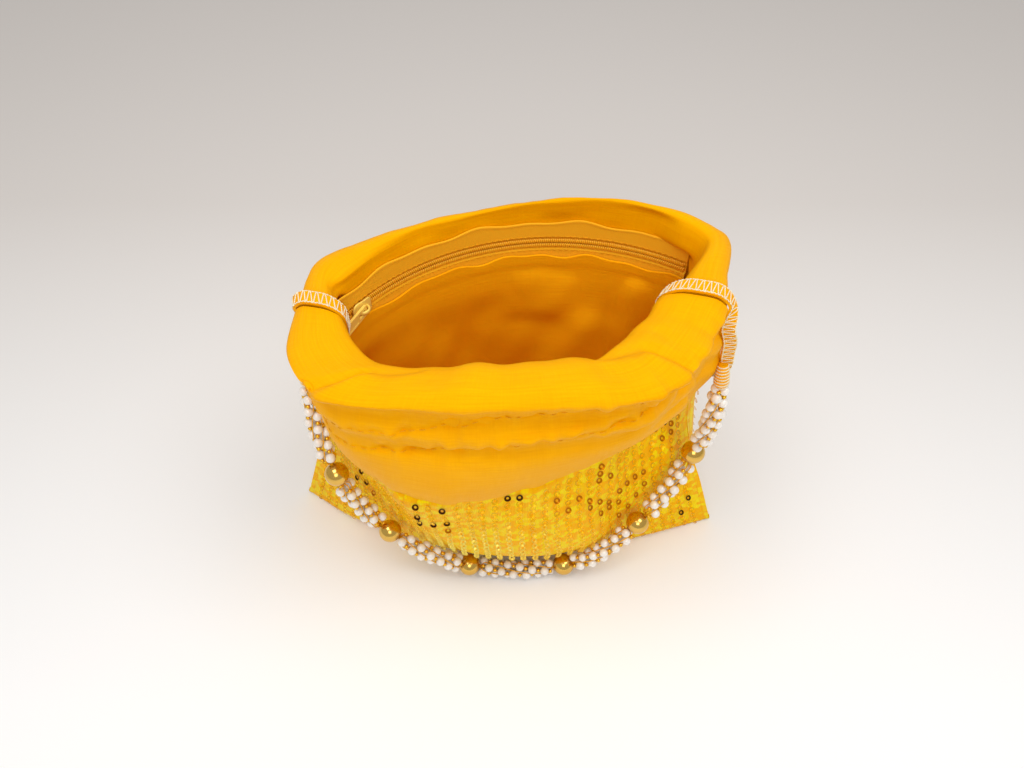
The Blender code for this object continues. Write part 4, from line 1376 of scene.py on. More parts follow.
@dataclass
class SilkCollar:
    """One silk band: up from the body's seam, over the rolled rim and down inside."""

    wall: Wall
    wardrobe: Wardrobe
    silk: float = 0.9
    samples: int = 300
    rows: int = 122
    creases: tuple[Crease, ...] = ()
    courses: tuple[Spots, ...] = (((0, 33), (206, 33)), ((0, 49), (206, 49)))
    zip_ends: tuple[float, float] = (0.2, 0.925)

    def course(self, number: int, across: Array) -> Array:
        """How far up a stitch line runs at each place across, with a little wander.

        Args:
            number: 0 for the lower line, 1 for the upper one.
            across: places across the flat cloth.

        Returns:
            How far up the cloth it is there.
        """
        points = np.array(self.courses[number], float)
        wander = ripple(across, ((27.0, 1.0 + number, 0.5), (12.0, 1.3, 0.3)))
        return np.interp(across, points[:, 0], points[:, 1]) + wander

    def profile(self) -> list[tuple[float | None, float, float]]:
        """The band's rows as (share from wall to lip, height, bulge out), from the seam up and over.

        Returns:
            The rows, from the seam up and over the roll to the turned-in edge.
        """
        front = self.wall.front
        pinch = -1.5 if front else -0.3
        puff = 1.0 if front else 0.5
        outer = [(0.0, COLLAR_SEAM - 0.7, 0.0), (0.0, 105.0, 1.3 * puff), (0.0, 117.0, 2.2 * puff),
                 (0.0, 127.0, 0.9 * puff), (0.0, LOWER_STITCH, 0.6 * pinch), (0.0, 139.0, 1.7 * puff),
                 (0.0, UPPER_STITCH, pinch)]
        roll = [(0.0, 0.28, 1.4 * puff), (0.0, 0.56, 3.2 * puff), (0.09, 0.83, 2.6 * puff),
                (0.42, 1.0, 0.0), (0.74, 0.93, 0.0), (0.95, 0.66, 0.0), (1.0, 0.36, 0.0),
                (0.86 if front else 0.5, 0.05, 0.0)]
        if not front:
            roll[4:] = [(0.66, 0.95, 0.0), (0.84, 0.72, 0.0), (0.94, 0.42, 0.0), (0.96, 0.04, 0.0)]
        facing = [(None, UPPER_STITCH, -3.3), (None, 128.4 if front else 145.0, -3.3)]
        return outer + roll + facing

    def seam_out(self, level: float, fraction: float) -> Array:
        """The direction out at a side seam, shared by the front and the back there.

        Args:
            level: a height.
            fraction: of the way round the front, 0 or 1.

        Returns:
            A unit direction in plan.
        """
        front = Wall(Side.FRONT).plan(np.array([level]), np.array([fraction]))[1][0, 0]
        back = Wall(Side.BACK).plan(np.array([level]), np.array([1 - fraction]))[1][0, 0]
        return unit(front + back)

    def bands(self, fractions: Array) -> Array:
        """The profile's rows carried round the bag, (rows, columns, 3).

        At the back the inner side is kept at the tape's radius, stands upright in the middle,
        and hangs lower past the ends of the zip.

        Args:
            fractions: of the way round, one for each column.

        Returns:
            The points, (rows, columns, 3).
        """
        front = self.wall.front
        lip = along(FRONT_LIP if front else BACK_LIP, fractions)
        crests = np.asarray(FRONT_CREST if front else BACK_CREST, float)
        crest = smooth(np.linspace(0, 1, len(crests)), crests, fractions)
        side_ease = 0.35 + 0.65 * np.sin(math.pi * fractions) ** 0.7
        upright = np.exp(-(((fractions - 0.45) / 0.17) ** 2)) * (0.0 if front else 1.0)
        rows = []
        for share, height, out in self.profile():
            on_roll = height <= 1
            level = ROLL_FOOT if on_roll else min(height, ROLL_FOOT)
            places, outs = (item[0] for item in self.wall.plan(np.array([level]), fractions))
            for end in (0.0, 1.0):
                shared = ease(1 - np.abs(fractions - end) / SEAM_BLEND)[:, None]
                outs = (1 - shared) * outs + shared * self.seam_out(level, end if front else 1 - end)
            bulge = out * (side_ease if out > 0 else 1.0) * np.ones(len(fractions))
            z = ROLL_FOOT + height * (crest - ROLL_FOOT) if on_roll else height + 0.0 * fractions
            places = places + outs * bulge[:, None]
            if share:
                inwards = (share + 0.55 * (0.96 - share) * upright)[:, None]
                places = (1 - inwards) * places + inwards * lip
            if not front and (share is None or share > 0.8):
                near = ZIP_RADIUS + 0.6 + (height * (1.2 - 1.9 * upright) if share else 0.1)
                zone = ease((fractions - 0.2) / 0.08) * ease((0.95 - fractions) / 0.05)
                places = keep_radius(keep_radius(places, inner=near, weight=zone), outer=near, weight=zone)
            if not front and share is None:
                left, right = self.zip_ends
                flap = np.maximum(ease((left - fractions) / 0.045), ease((fractions - right) / 0.03))
                places = places + flap[:, None] * (0.94 * lip + 0.06 * places - places)
                z = z - flap * (1.5 if height > 146 else 12.0)
            rows.append(np.column_stack([places, z]))
        return np.array(rows)

    def surface(self) -> tuple[Array, Array]:
        """The band's outer side in full, with gathers at the channel's two stitch lines.

        A cubic runs through the profile's rows. Each stitch line wanders a little, pulls the silk
        in by a narrow bell of uneven depth, lets it swell above, and throws puckers that fade over
        some millimetres.

        Returns:
            The points, (rows, columns, 3), and their flat places.
        """
        cut = 2 * SEAM_GAP / PANEL_SPAN
        fractions = np.linspace(cut, 1 - cut, self.samples)
        bands = self.bands(fractions)
        knots = run_up(bands)
        up = np.linspace(0, knots[-1], self.rows)
        grid = smooth(knots, bands, up)
        places = flat_places(grid, fractions)
        across, run = places[..., 0], np.broadcast_to(up[:, None], grid.shape[:2])
        share = 0.25 + 0.75 * ease((across - 34) / 46) if self.wall.front else 0.6
        push = np.zeros(across.shape)
        for number, (depth, over) in enumerate(((2.0, 1.5), (1.3, 0.7))):
            off = run - self.course(number, across)
            uneven = ripple(across, ((14.3, 1.0 + number, 0.3), (8.7, 2.0, 0.27)))
            uneven = np.clip(0.6 + uneven, 0.1, 1.6)
            puckers = ripple(across, ((9.3, 1.1 + number, 0.3), (6.1, 2.7, 0.22), (15.1, 0.2, 0.34)))
            push += share * (
                -depth * uneven * np.exp(-((off / (1.0 + 0.5 * (off > 0))) ** 2))
                + over * uneven * np.exp(-(((off - 3.6) / 2.2) ** 2))
                + puckers * np.exp(-np.abs(off) / 6.0)
            )
        push += share * ripple(across, ((41.0, 0.3, 0.4), (23.0, 1.9, 0.3))) * ease((run - knots[6]) / 12)
        if self.wall.front:
            inset = ease((across - 180) / 6) * ease((203 - across) / 9)
            push -= 2.2 * inset * ease((57 - run) / 5) * ease((run - 14) / 12)
        push += np.exp(-run / 13) * ripple(across, SEAM_GATHERS)
        inside = ease((knots[-3] - run) / 5)
        seams = ease(np.minimum(across, PANEL_SPAN - across) / 9)
        for crease in self.creases:
            push = push + crease.push(np.stack([across, run], -1))
        return grid + outward_normals(grid, upper=False) * (push * inside * seams)[..., None], places

    def build(self) -> Piece:
        """The band, with its two rows of stitching.

        Returns:
            The band.
        """
        name = self.wall.side.value
        grid, places = self.surface()
        normals = outward_normals(grid, upper=False)
        band = shell(grid, grid - normals * self.silk, places)
        made = make_object(f"silk_collar_{name}", [band], [self.wardrobe.silk])
        sewn = []
        columns = np.arange(4, self.samples - 4)
        per_mm = (self.rows - 1) / places[-1, 0, 1]
        for number in (0, 1):
            rows = self.course(number, places[0, columns, 0]) * per_mm
            track, up = sample(grid, rows, columns), sample(normals, rows, columns)
            sewn.append(stitches(track + 0.05 * up, up, length=2.4, gap=1.3, radius=0.17))
        threads = make_object(f"channel_stitching_{name}", sewn, [self.wardrobe.yellow_thread])
        for piece in (made, threads):
            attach(piece, "bag")
        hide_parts(f"collar_{name}")
        return made


@dataclass
class Lining:
    """One lining panel, which hangs inside the wall in soft folds."""

    wall: Wall
    wardrobe: Wardrobe
    cotton: float = 0.6
    rest: float = 1.7
    samples: int = 220
    base_rows: int = 11
    wall_rows: int = 86
    creases: tuple[Crease, ...] = ()

    def grid(self) -> tuple[Array, Array]:
        """The side against the wall: the wall's plans moved in by a depth of slow sines and folds.

        Returns:
            The points and their flat places.
        """
        front = self.wall.front
        top = 127.4 if front else 134.3
        heights = np.linspace(0, top, self.wall_rows)
        margin = np.interp(heights, (0, 66, 100), (9.0, 5.5, 4.5))[:, None] / PANEL_SPAN
        fractions = margin + (1 - 2 * margin) * np.linspace(0, 1, self.samples)[None]
        rows = heights[:, None]
        if front:
            fold = 1 + np.sin(TURN * (3.2 * fractions + 0.004 * rows) + 1.0)
            depth = self.rest + ease(rows / 40) * (1.9 + 1.1 * fold * ease((120 - rows) / 30))
        else:
            edge = ease(np.minimum(fractions, 1 - fractions) / 0.12)
            fold = 1 + np.sin(TURN * (2.6 * fractions - 0.003 * rows) + 2.0)
            fold = 1.3 * fold * ease((rows - 10) / 30) * ease((118 - rows) / 20)
            depth = self.rest + ease(rows / 50) * (3.2 * edge + 1.1 * (1 - edge) + fold * edge)
        across = fractions * PANEL_SPAN
        flat = np.stack(np.broadcast_arrays(across, rows), -1)
        for crease in self.creases:
            depth = depth + crease.push(flat) * ease((top - 2 - rows) / 10)
        slack = ease((rows - 25) / 25) * ease((top - 4 - rows) / 14)
        wrinkles = 1 + ripple(across + 0.5 * rows, ((37.0, 0.3, 0.5), (21.0, 1.7, 0.3)))
        middle = ease(np.minimum(fractions, 1 - fractions) / 0.08)
        depth = depth + slack * np.maximum(wrinkles, 0) * middle
        upright = self.wall.inset(heights, fractions, depth)
        upright[..., 2] = np.maximum(upright[..., 2], self.rest + 0.3)
        grid = self.wall.with_base(upright, self.base_rows)
        round_turn(grid, self.base_rows + 1, 10, 18)
        if not front:
            face = ZIP_RADIUS - 0.7
            grid[..., :2] = keep_radius(grid[..., :2], inner=face, weight=ease((grid[..., 2] - 96) / 26))
            crest = ease((grid[..., 2] - 127) / 7)
            grid[..., 2] += crest * (ripple(grid[..., 0], ((31.0, 0.5, 0.75), (17.0, 2.0, 0.6))) - 0.5)
        return grid, flat_places(grid, np.linspace(0, 1, self.samples))

    def build(self) -> Piece:
        """The panel, half as thick again along its folded top edge.

        Returns:
            The panel.
        """
        name = self.wall.side.value
        grid, places = self.grid()
        hem = 1 + 0.5 * ease((places[..., 1] - places[-1, 0, 1] + 5.0) / 0.8)
        inner = grid - outward_normals(grid, upper=True) * (self.cotton * hem)[..., None]
        made = make_object(f"cotton_lining_{name}", [shell(grid, inner, places)], [self.wardrobe.cotton])
        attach(made, "bag")
        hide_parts(f"lining_{name}")
        return made


@dataclass
class ZipPocket:
    """The zip in the back wall, and the sheet that makes its pocket."""

    wardrobe: Wardrobe
    tape_thickness: float = 0.5
    tape_reach: float = 10.2
    coil_gap: float = 0.3
    coil_width: float = 1.9
    coil_loops: int = 178
    coil_depth: float = 0.34
    coil_wire: float = 0.32

    def ring(self, radii: Array, heights: Array, degrees: tuple[float, float], steps: int) -> Array:
        """Points round the zip's axis: each profile point (radius, height) carried along the arc.

        Args:
            radii: of the profile's points.
            heights: of the same points.
            degrees: where the arc starts and ends.
            steps: how many points it has.

        Returns:
            The points, (profile, steps, 3).
        """
        angles = np.radians(np.linspace(*degrees, steps))
        x = ZIP_AXIS[0] + radii[:, None] * np.cos(angles)
        y = ZIP_AXIS[1] + radii[:, None] * np.sin(angles)
        return np.stack([x, y, np.broadcast_to(heights[:, None], x.shape)], -1)

    def tape(self, name: str, sign: int) -> Piece:
        """One tape: it passes behind the coil, then lies flat, with a raised cord along its free edge.

        Args:
            name: which tape it is.
            sign: 1 above the coil, -1 below it.

        Returns:
            The tape.
        """
        across = np.linspace(0.2, self.tape_reach, 26)
        heights = ZIP_HEIGHT + sign * across
        bead = 0.2 * np.exp(-(((across - self.tape_reach + 0.5) / 0.42) ** 2))
        behind = 0.85 * (1 - ease((across - 2.2) / 0.9))
        half = 0.5 * self.tape_thickness
        face = self.ring(ZIP_RADIUS - half - bead + behind, heights, ZIP_DEGREES, 200)
        back = self.ring(ZIP_RADIUS + half + 0.8 * behind, heights, ZIP_DEGREES, 200)
        run = np.linspace(0, math.radians(ZIP_DEGREES[1] - ZIP_DEGREES[0]) * ZIP_RADIUS, 200)
        places = np.stack(np.meshgrid(run, across), -1)
        if sign > 0:
            rise = 0.7 * ease((across - 7) / 3)[:, None] * ripple(run, ((38.0, 0.4, 1.0), (21.0, 1.2, 0.7)))
            face[..., 2] += rise
            back[..., 2] += rise
        made = make_object(f"tape_{name}", [shell(face, back, places)], [self.wardrobe.tape])
        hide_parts(f"zip_tape_{name}")
        return made

    def coil(self, name: str, sign: int) -> Piece:
        """One row of the coil: a flattened helix bowed along the zip.

        Args:
            name: which row it is.
            sign: 1 for the upper one, -1 for the lower.

        Returns:
            The coil.
        """
        turns = np.linspace(0, self.coil_loops, self.coil_loops * 12)
        phase = TURN * turns + (0.0 if sign > 0 else math.pi)
        angles = np.radians(np.linspace(ZIP_DEGREES[0] + 0.6, ZIP_DEGREES[1] - 0.6, len(turns)))
        centre = 0.5 * self.coil_gap + 0.5 * self.coil_width
        height = ZIP_HEIGHT + sign * (centre + (0.5 * self.coil_width - 0.2) * np.cos(phase))
        out = np.stack([np.cos(angles), np.sin(angles)], -1)
        plan = ZIP_AXIS + (ZIP_RADIUS + self.coil_depth * np.sin(phase))[:, None] * out
        path = np.column_stack([plan, height])
        beside = np.column_stack([out[:, 1], -out[:, 0], np.zeros(len(out))])
        guide = unit(np.cross(np.gradient(path, axis=0), beside))
        coil = rods(path[None], self.coil_wire, 6, guide[None])
        made = make_object(f"coil_{name}", [coil], [self.wardrobe.nylon])
        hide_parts(f"zip_coil_{name}")
        return made

    def stitching(self) -> Piece:
        """The two rows that sew the zip in, above and below the coil.

        Returns:
            The stitches as one piece.
        """
        rows = []
        reach = (ZIP_DEGREES[0] + 1, ZIP_DEGREES[1] - 1)
        for height in (ZIP_HEIGHT + 3.4, ZIP_HEIGHT - 3.2):
            line = self.ring(np.array([ZIP_RADIUS - 0.3]), np.array([height]), reach, 400)[0]
            up = np.column_stack([ZIP_AXIS - line[:, :2], np.zeros(len(line))])
            rows.append(stitches(line, unit(up), length=1.7, gap=0.7, radius=0.16))
        made = make_object("zip_stitching", rows, [self.wardrobe.yellow_thread])
        return made

    def pocket(self) -> Piece:
        """The pocket's back sheet: the wall moved in, and bowed with the zip near its top.

        Returns:
            The sheet.
        """
        heights = np.linspace(56, ZIP_HEIGHT + 4.3, 36)
        fractions = np.linspace(0.12, 0.88, 90)
        slack = ease((122 - heights) / 30)[:, None, None]
        layers = []
        for extra in (0.0, 0.4):
            points = Wall(Side.BACK).inset(heights, fractions, 1.9 + extra)
            bowed = keep_radius(points[..., :2], inner=BACK_WALL_RADIUS - 1.5 - extra)
            points[..., :2] = slack * points[..., :2] + (1 - slack) * bowed
            layers.append(points)
        sheet = shell(*layers, flat_places(layers[0], fractions))
        made = make_object("pocket_back_sheet", [sheet], [self.wardrobe.cotton])
        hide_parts("pocket_sheet")
        return made

    def build(self) -> list[Piece]:
        """Tapes, coils, stitching and the pocket sheet.

        Returns:
            All six pieces.
        """
        made = [self.tape("upper", 1), self.tape("lower", -1), self.coil("upper", 1), self.coil("lower", -1),
                self.stitching(), self.pocket()]
        for piece in made:
            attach(piece, "bag")
        return made


# How a plate's rim is eased, and where its flat face starts
RIM_EASE = 0.16
RIM_DEPTH = 0.12
FLAT_INSET = 0.4


@dataclass
class ZipSlider:
    """The slider and its pull tab, in a frame with X to the nose, Y into the bag and Z up."""

    wardrobe: Wardrobe
    plate: tuple[float, float, float] = (9.0, 7.6, 0.7)
    face: float = 1.15
    nose_bend: float = 2.6
    crown: tuple[float, float, float] = (1.9, 2.8, 1.6)
    crown_wire: float = 0.5
    hinge_rise: float = 0.95
    tab: tuple[float, float, float] = (17.0, 5.0, 1.0)
    rest: float = math.radians(12)

    def matrix(self) -> tuple[Array, Array]:
        """The frame's axes as rows, and its place on the zip.

        Returns:
            The axes, (3, 3), and the place.
        """
        angle = math.radians(SLIDER_DEGREES)
        inward = np.array([-math.cos(angle), -math.sin(angle), 0.0])
        nose = np.array([-math.sin(angle), math.cos(angle), 0.0])
        place = np.array([*(ZIP_AXIS - ZIP_RADIUS * inward[:2]), ZIP_HEIGHT])
        return np.array([nose, inward, np.cross(nose, inward)]), place

    def in_place(self, shapes: Sequence[Shape]) -> None:
        """Carries shapes from the slider's frame to its place on the zip."""
        axes, place = self.matrix()
        for shape in shapes:
            shape.points = shape.points @ axes + place

    def prism(self, outline: Array, low: float, high: float) -> Shape:
        """A plate: an outline in X and Z drawn out along Y, with eased rims round two flat faces.

        Args:
            outline: (X, Z) of each corner.
            low: Y of one face.
            high: Y of the other.

        Returns:
            The closed plate.
        """
        centre = outline.mean(0)
        arm = outline - centre
        reach = np.linalg.norm(arm, axis=1, keepdims=True)
        rings = []
        for y, shrink in ((low, FLAT_INSET), (low, RIM_EASE), (low + RIM_DEPTH, 0.0),
                          (high - RIM_DEPTH, 0.0), (high, RIM_EASE), (high, FLAT_INSET)):
            flat = centre + arm * (1 - shrink / reach)
            rings.append(np.column_stack([flat[:, 0], np.full(len(flat), y), flat[:, 1]]))
        tips = np.array([(centre[0], low, centre[1]), (centre[0], high, centre[1])])
        return tubes(np.array(rings)[None], tips[None])

    def slider(self) -> Piece:
        """Two shield plates, the web between them at the nose, and the crown's arch.

        Returns:
            The slider.
        """
        length, width, thick = self.plate
        half = 0.5 * length
        bend = self.nose_bend
        turn = np.linspace(0.5 * math.pi, 0, 8)
        nose = np.stack([half - bend + bend * np.cos(turn), 0.5 * width - bend + bend * np.sin(turn)], -1)
        tail = [(-half, 2.3), (-half + 0.7, 3.1), (-0.55 * half, 3.2), (-0.2 * half, 3.25)]
        upper = np.concatenate([tail, nose])
        outline = np.concatenate([upper, upper[::-1] * [1, -1]])
        outline = outline[np.r_[True, np.linalg.norm(np.diff(outline, axis=0), axis=1) > 1e-6]]
        web = np.array([(half - 3.4, -0.2), (half - 0.5, -0.2), (half - 0.5, 0.2), (half - 3.4, 0.2)])
        base = self.face + thick
        shapes = [self.prism(outline, self.face, base), self.prism(outline, -base, -self.face),
                  self.prism(web, -self.face - 0.4, self.face + 0.4)]
        eye, outer, wide = self.crown
        angles = np.linspace(0, math.pi, 25)
        middle = 0.5 * (eye + outer)
        rise = base + middle * np.sin(angles)
        rise[[0, -1]] -= 0.3
        path = np.stack([middle * np.cos(angles), rise, np.zeros(25)], -1)
        arch = rods(path[None], self.crown_wire, 12, [0.0, 0.0, 1.0])
        arch.points[:, 2] *= 0.5 * wide / self.crown_wire
        shapes.append(arch)
        self.in_place(shapes)
        made = make_object("slider_body", shapes, [self.wardrobe.brass])
        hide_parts("zip_slider")
        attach(made, "slider")
        return made

    def pull_tab(self) -> Piece:
        """A flat tab, laid as blocks in rows and columns: a raised border, a sunk face and two windows.

        Returns:
            The tab.
        """
        length, width, thick = self.tab
        root, inner = -0.5, 0.5 * self.crown[2] + 0.35
        xs = np.array([root, 0.5, 4.4, 5.3, length - 3.2, length - 1.5, length - 0.8, length])
        zs = np.array([-0.5 * width, -0.5 * width + 0.7, -inner, inner, 0.5 * width - 0.7, 0.5 * width])
        deep = np.full((len(xs) - 1, len(zs) - 1), 0.5 * thick)
        deep[3, 1:4] = 0.32 * thick
        deep[[1, 4], 2] = 0
        shapes = [
            self.block(xs[column:column + 2], zs[row:row + 2], deep[column, row])
            for column, row in np.argwhere(deep > 0)
        ]
        hinge = np.array([0.0, self.face + self.plate[2] + self.hinge_rise, 0.0])
        cosine, sine = math.cos(self.rest), math.sin(self.rest)
        turn = np.array([[cosine, sine, 0], [-sine, cosine, 0], [0, 0, 1]])
        for shape in shapes:
            shape.points[:, 2] *= 1 - 0.12 * (1 - np.clip(shape.points[:, 0] / length, 0, 1))
            shape.points = shape.points @ turn + hinge
        self.in_place(shapes)
        made = make_object("pull_tab", shapes, [self.wardrobe.brass])
        made.modifiers.new("weld", "WELD").merge_threshold = 1e-6
        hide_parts("zip_pull_tab")
        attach(made, "pull_tab")
        return made

    def block(self, xs: Array, zs: Array, deep: float) -> Shape:
        """One block of the tab: the box between two places along it, two across it and its two faces.

        Args:
            xs: its two ends.
            zs: its two sides.
            deep: half its thickness.

        Returns:
            The box.
        """
        corners = np.stack(np.meshgrid(xs, (-deep, deep), zs, indexing="ij"), -1).reshape(-1, 3)
        sides = ((0, 1, 3, 2), (4, 6, 7, 5), (0, 4, 5, 1), (2, 3, 7, 6), (0, 2, 6, 4), (1, 5, 7, 3))
        return Shape(corners, np.array(sides)).outwards()

    def build(self) -> list[Piece]:
        """Both pieces."""
        made = [self.slider(), self.pull_tab()]
        return made


# The rows of the collar's profile that an overlocked strip covers
COVERED_ROWS = slice(2, 16)


@dataclass
class OverlockedSeam:
    """A seam allowance with its zigzag of thread, laid over one end of the rim."""

    name: str
    fraction: float
    inward: float
    collar: SilkCollar
    wardrobe: Wardrobe
    width: float = 4.6
    thickness: float = 0.9
    pitch: float = 2.5
    flare: float = 0.0

    def laid(self, count: int) -> tuple[Array, Array, Array, Array]:
        """The strip as it lies over the rim, flared out below it by a turn about its foot line.

        Args:
            count: how many rows to read.

        Returns:
            For each row its foot, the way across, the way out and how far it leans out.
        """
        pair = self.collar.bands(np.array([self.fraction, self.inward]))
        seam, beside = pair[COVERED_ROWS, 0], pair[COVERED_ROWS, 1]
        normals = grid_normals(pair)[COVERED_ROWS, 0]
        centre = 0.5 * (seam[7] + seam[12])
        centre[2] = 0.5 * (ROLL_FOOT + BACK_CREST[0])
        normals = np.where(((seam - centre) * normals).sum(-1, keepdims=True) < 0, -normals, normals)
        across = unit(beside - seam)
        row = np.arange(len(seam))
        lean = np.interp(row, (0, 4, 8, 13), (0.4, 1.4, 0.9, 0.9))
        knots = lengths_along(seam)
        at = np.linspace(0, knots[-1], count)
        turn = self.flare * np.interp(row, (0, 4, 6), (1.0, 0.95, 0.0))[:, None]
        across, normals = (across * np.cos(turn) + normals * np.sin(turn),
                           normals * np.cos(turn) - across * np.sin(turn))
        sunk = np.interp(row, (0, 4, 6), (-0.4, 0.0, 0.6))[:, None]
        foot = smooth(knots, seam + sunk * normals, at)
        across, normals = unit(smooth(knots, across, at)), unit(smooth(knots, normals, at))
        return foot, across, normals, np.interp(at, knots, lean)

    def build(self) -> Piece:
        """The strip and its threads: the zigzag across it, and the lines that hold it at both edges.

        Returns:
            The strip.
        """
        foot, across, out, lean = self.laid(200)
        run = lengths_along(foot)
        share = np.linspace(0, 1, 9)[:, None, None]
        face = foot + share * (self.width * across + lean[:, None] * out)
        places = np.stack(np.meshgrid(run, share.ravel() * self.width), -1)
        shapes = [shell(face + self.thickness * out, face, places)]
        turns = np.arange(0, run[-1] / self.pitch, 1 / 14)
        at = np.minimum(turns * self.pitch, run[-1])
        foot, across, out = (read_along(rows, run, at) for rows in (foot, across, out))
        slope = across + np.interp(at, run, lean)[:, None] / self.width * out
        wave = np.abs(2 * (turns % 1) - 1)[:, None]
        bow = 0.35 * np.sin(TURN * 2 * turns)[:, None]
        for side, radius in ((0.1 + (self.width + 0.2) * ease(wave), 0.2), (0.35 + bow * 0.4, 0.18),
                             (self.width + 0.05 + 0.5 * bow, 0.2)):
            high = self.thickness + 0.2 - 0.6 * ease((side - self.width + 0.2) / 0.5)
            path = foot + side * slope + high * out
            shapes.append(rods(path[None], radius, 5, out[None], slot=1))
        finishes = [self.wardrobe.silk, self.wardrobe.cream]
        made = make_object(f"overlocked_allowance_{self.name}", shapes, finishes)
        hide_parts(f"overlock_seam_{self.name}")
        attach(made, "bag")
        return made


# A seed bead's profile, (radius, along its bore), from pole to pole
SEED_BARREL: Spots = ((0, -0.62), (0.5, -0.6), (0.8, -0.3), (0.8, 0.3), (0.5, 0.6), (0, 0.62))


@dataclass
class PearlHandle:
    """The handle: strings of pearls and seed beads, gold beads between them, and two bound ends."""

    wardrobe: Wardrobe
    strings: int = 4
    spread: float = 2.75
    pearl: float = 1.98
    seed: float = 0.9
    twist: float = 74.0
    bead: float = 5.0
    bore: float = 1.1
    thread: float = 0.24
    binding_thread: float = 0.26
    binding_radius: float = 3.3
    binding_length: float = 9.5
    binding_turns: float = 8.0
    drawn_in: float = 0.55
    opening: float = 1.7

    def route(self) -> tuple[Array, Array, Array]:
        """The centreline through the route's points, the distance along it and each bead's stop.

        Returns:
            The centreline's points, the distance at each, and the beads' distances.
        """
        points = np.asarray(HANDLE_ROUTE, float)
        chords = lengths_along(points)
        dense = smooth(chords, points, np.linspace(0, chords[-1], 1600))
        run = lengths_along(dense)
        stops = np.interp(chords[list(BEAD_STOPS)], np.linspace(0, chords[-1], 1600), run)
        return dense, run, stops

    def read(self, at: Array) -> tuple[Array, Array, Array, Array]:
        """The centreline and its frame at distances along it.

        Args:
            at: distances along the centreline.

        Returns:
            The places, and the unit directions ahead, to the side and over.
        """
        dense, run, _ = self.route()
        heading = unit(np.gradient(dense, axis=0))
        ahead = unit(read_along(heading, run, at))
        side = unit(np.cross(ahead, [0.25, -1.0, 0.2]))
        return read_along(dense, run, at), ahead, side, np.cross(ahead, side)

    def string_place(self, at: Array, string: float, starts: Array, ends: Array) -> Array:
        """Where one string runs: a slow helix whose radius closes in at each gold bead and end.

        Args:
            at: distances along the centreline.
            string: the string's number, which may be a half for a thread between two.
            starts: where each span between beads starts.
            ends: where each span ends.

        Returns:
            The string's points.
        """
        spot, _, side, over = self.read(at)
        gap = np.max(np.minimum(at[:, None] - starts, ends - at[:, None]), axis=1)
        radius = self.drawn_in + (self.spread - self.drawn_in) * ease(gap / self.opening)
        bound = np.minimum(at, ends[-1] - at)
        radius = np.minimum(radius, 1.45 + 0.16 * np.maximum(bound, 0))
        angle = TURN * (string / self.strings + at / self.twist) + 0.5
        spread = np.cos(angle)[:, None] * side + np.sin(angle)[:, None] * over
        return spot + radius[:, None] * spread

    def strung(self, starts: Array, ends: Array, rng: np.random.Generator) -> tuple[Array, Array]:
        """Where pearls and seed beads sit: in turns an even pitch apart, spread over each span.

        Args:
            starts: where each span between beads starts.
            ends: where each span ends.
            rng: what moves the pearls a little.

        Returns:
            The centres of the pearls and of the seed beads.
        """
        pitch = 2 * (self.pearl + self.seed) - 0.06
        pearls, seeds = [], []
        for start, end in zip(starts, ends):
            for string in range(self.strings):
                room = end - start - 2 * self.pearl + 0.5
                count = int(room // pitch) + 1
                slack = room - (count - 1) * pitch
                first = start + self.pearl - 0.25 + 0.5 * slack
                shift = (0.25 if string % 2 else -0.25) * min(pitch, slack + 0.6 * pitch)
                at = first + np.arange(count) * pitch + shift
                at = at[(at > start + 1.4) & (at < end - 1.4)]
                place = self.string_place(at, string, starts, ends)
                pearls.append(place + rng.normal(0, 0.12, place.shape))
                between = np.concatenate([at - 0.5 * pitch, at[-1:] + 0.5 * pitch])
                between = between[(between > start + 0.7) & (between < end - 0.7)]
                seeds.append(self.string_place(between, string, starts, ends))
        return np.concatenate(pearls), np.concatenate(seeds)

    def build(self) -> Piece:
        """The strung cord as one mesh, with gold beads and bindings as its own pieces.

        Returns:
            The cord.
        """
        dense, run, stops = self.route()
        hold = self.bead + 0.3
        starts = np.concatenate([[0.0], stops + hold])
        ends = np.concatenate([stops - hold, [run[-1]]])
        rng = np.random.default_rng(3)
        pearls, seeds = self.strung(starts, ends, rng)
        sizes = rng.normal(1, 0.025, len(pearls))
        shapes = [turned(ball(self.pearl, 9), pearls, rng.normal(0, 1, pearls.shape), 12, False, sizes)]
        barrel = self.seed / 0.8 * np.array(SEED_BARREL)
        near = np.abs(dense[None] - seeds[:, None]).sum(2).argmin(1)
        heading = unit(np.gradient(dense, axis=0))[near]
        shapes.append(turned(barrel, seeds, heading, 9, False, slot=1))
        at = np.linspace(0.2, run[-1] - 0.2, 520)
        for string in range(2 * self.strings):
            path = self.string_place(at, 0.5 * string, starts, ends)
            shapes.append(rods(path[None], self.thread, 5, [0.25, -1.0, 0.2], slot=2))
        finishes = [self.wardrobe.pearl, self.wardrobe.seed, self.wardrobe.yellow_thread]
        cord = make_object("pearl_strings", shapes, finishes)
        pieces = self.beads(stops) + [self.binding("right", False), self.binding("left", True)]
        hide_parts(*[f"pearl_strand_{number}" for number in range(1, 8)])
        for piece in [cord, *pieces]:
            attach(piece, "bag")
        return cord

    def beads(self, stops: Array) -> list[Piece]:
        """The gold beads: a circle's arc turned round the bore.

        Args:
            stops: each bead's distance along the centreline.

        Returns:
            The beads.
        """
        lean = math.asin(self.bore / self.bead)
        angles = np.linspace(lean, math.pi - lean, 22)
        outer = np.stack([self.bead * np.sin(angles), -self.bead * np.cos(angles)], -1)
        made = []
        for number, stop in enumerate(stops, 1):
            spot, ahead, _, _ = self.read(np.array([stop]))
            piece = make_object(f"gold_bead_{number}_polished", [turned(outer, spot, ahead, 36, True)],
                                [self.wardrobe.gold])
            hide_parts(f"gold_bead_{number}")
            made.append(piece)
        return made

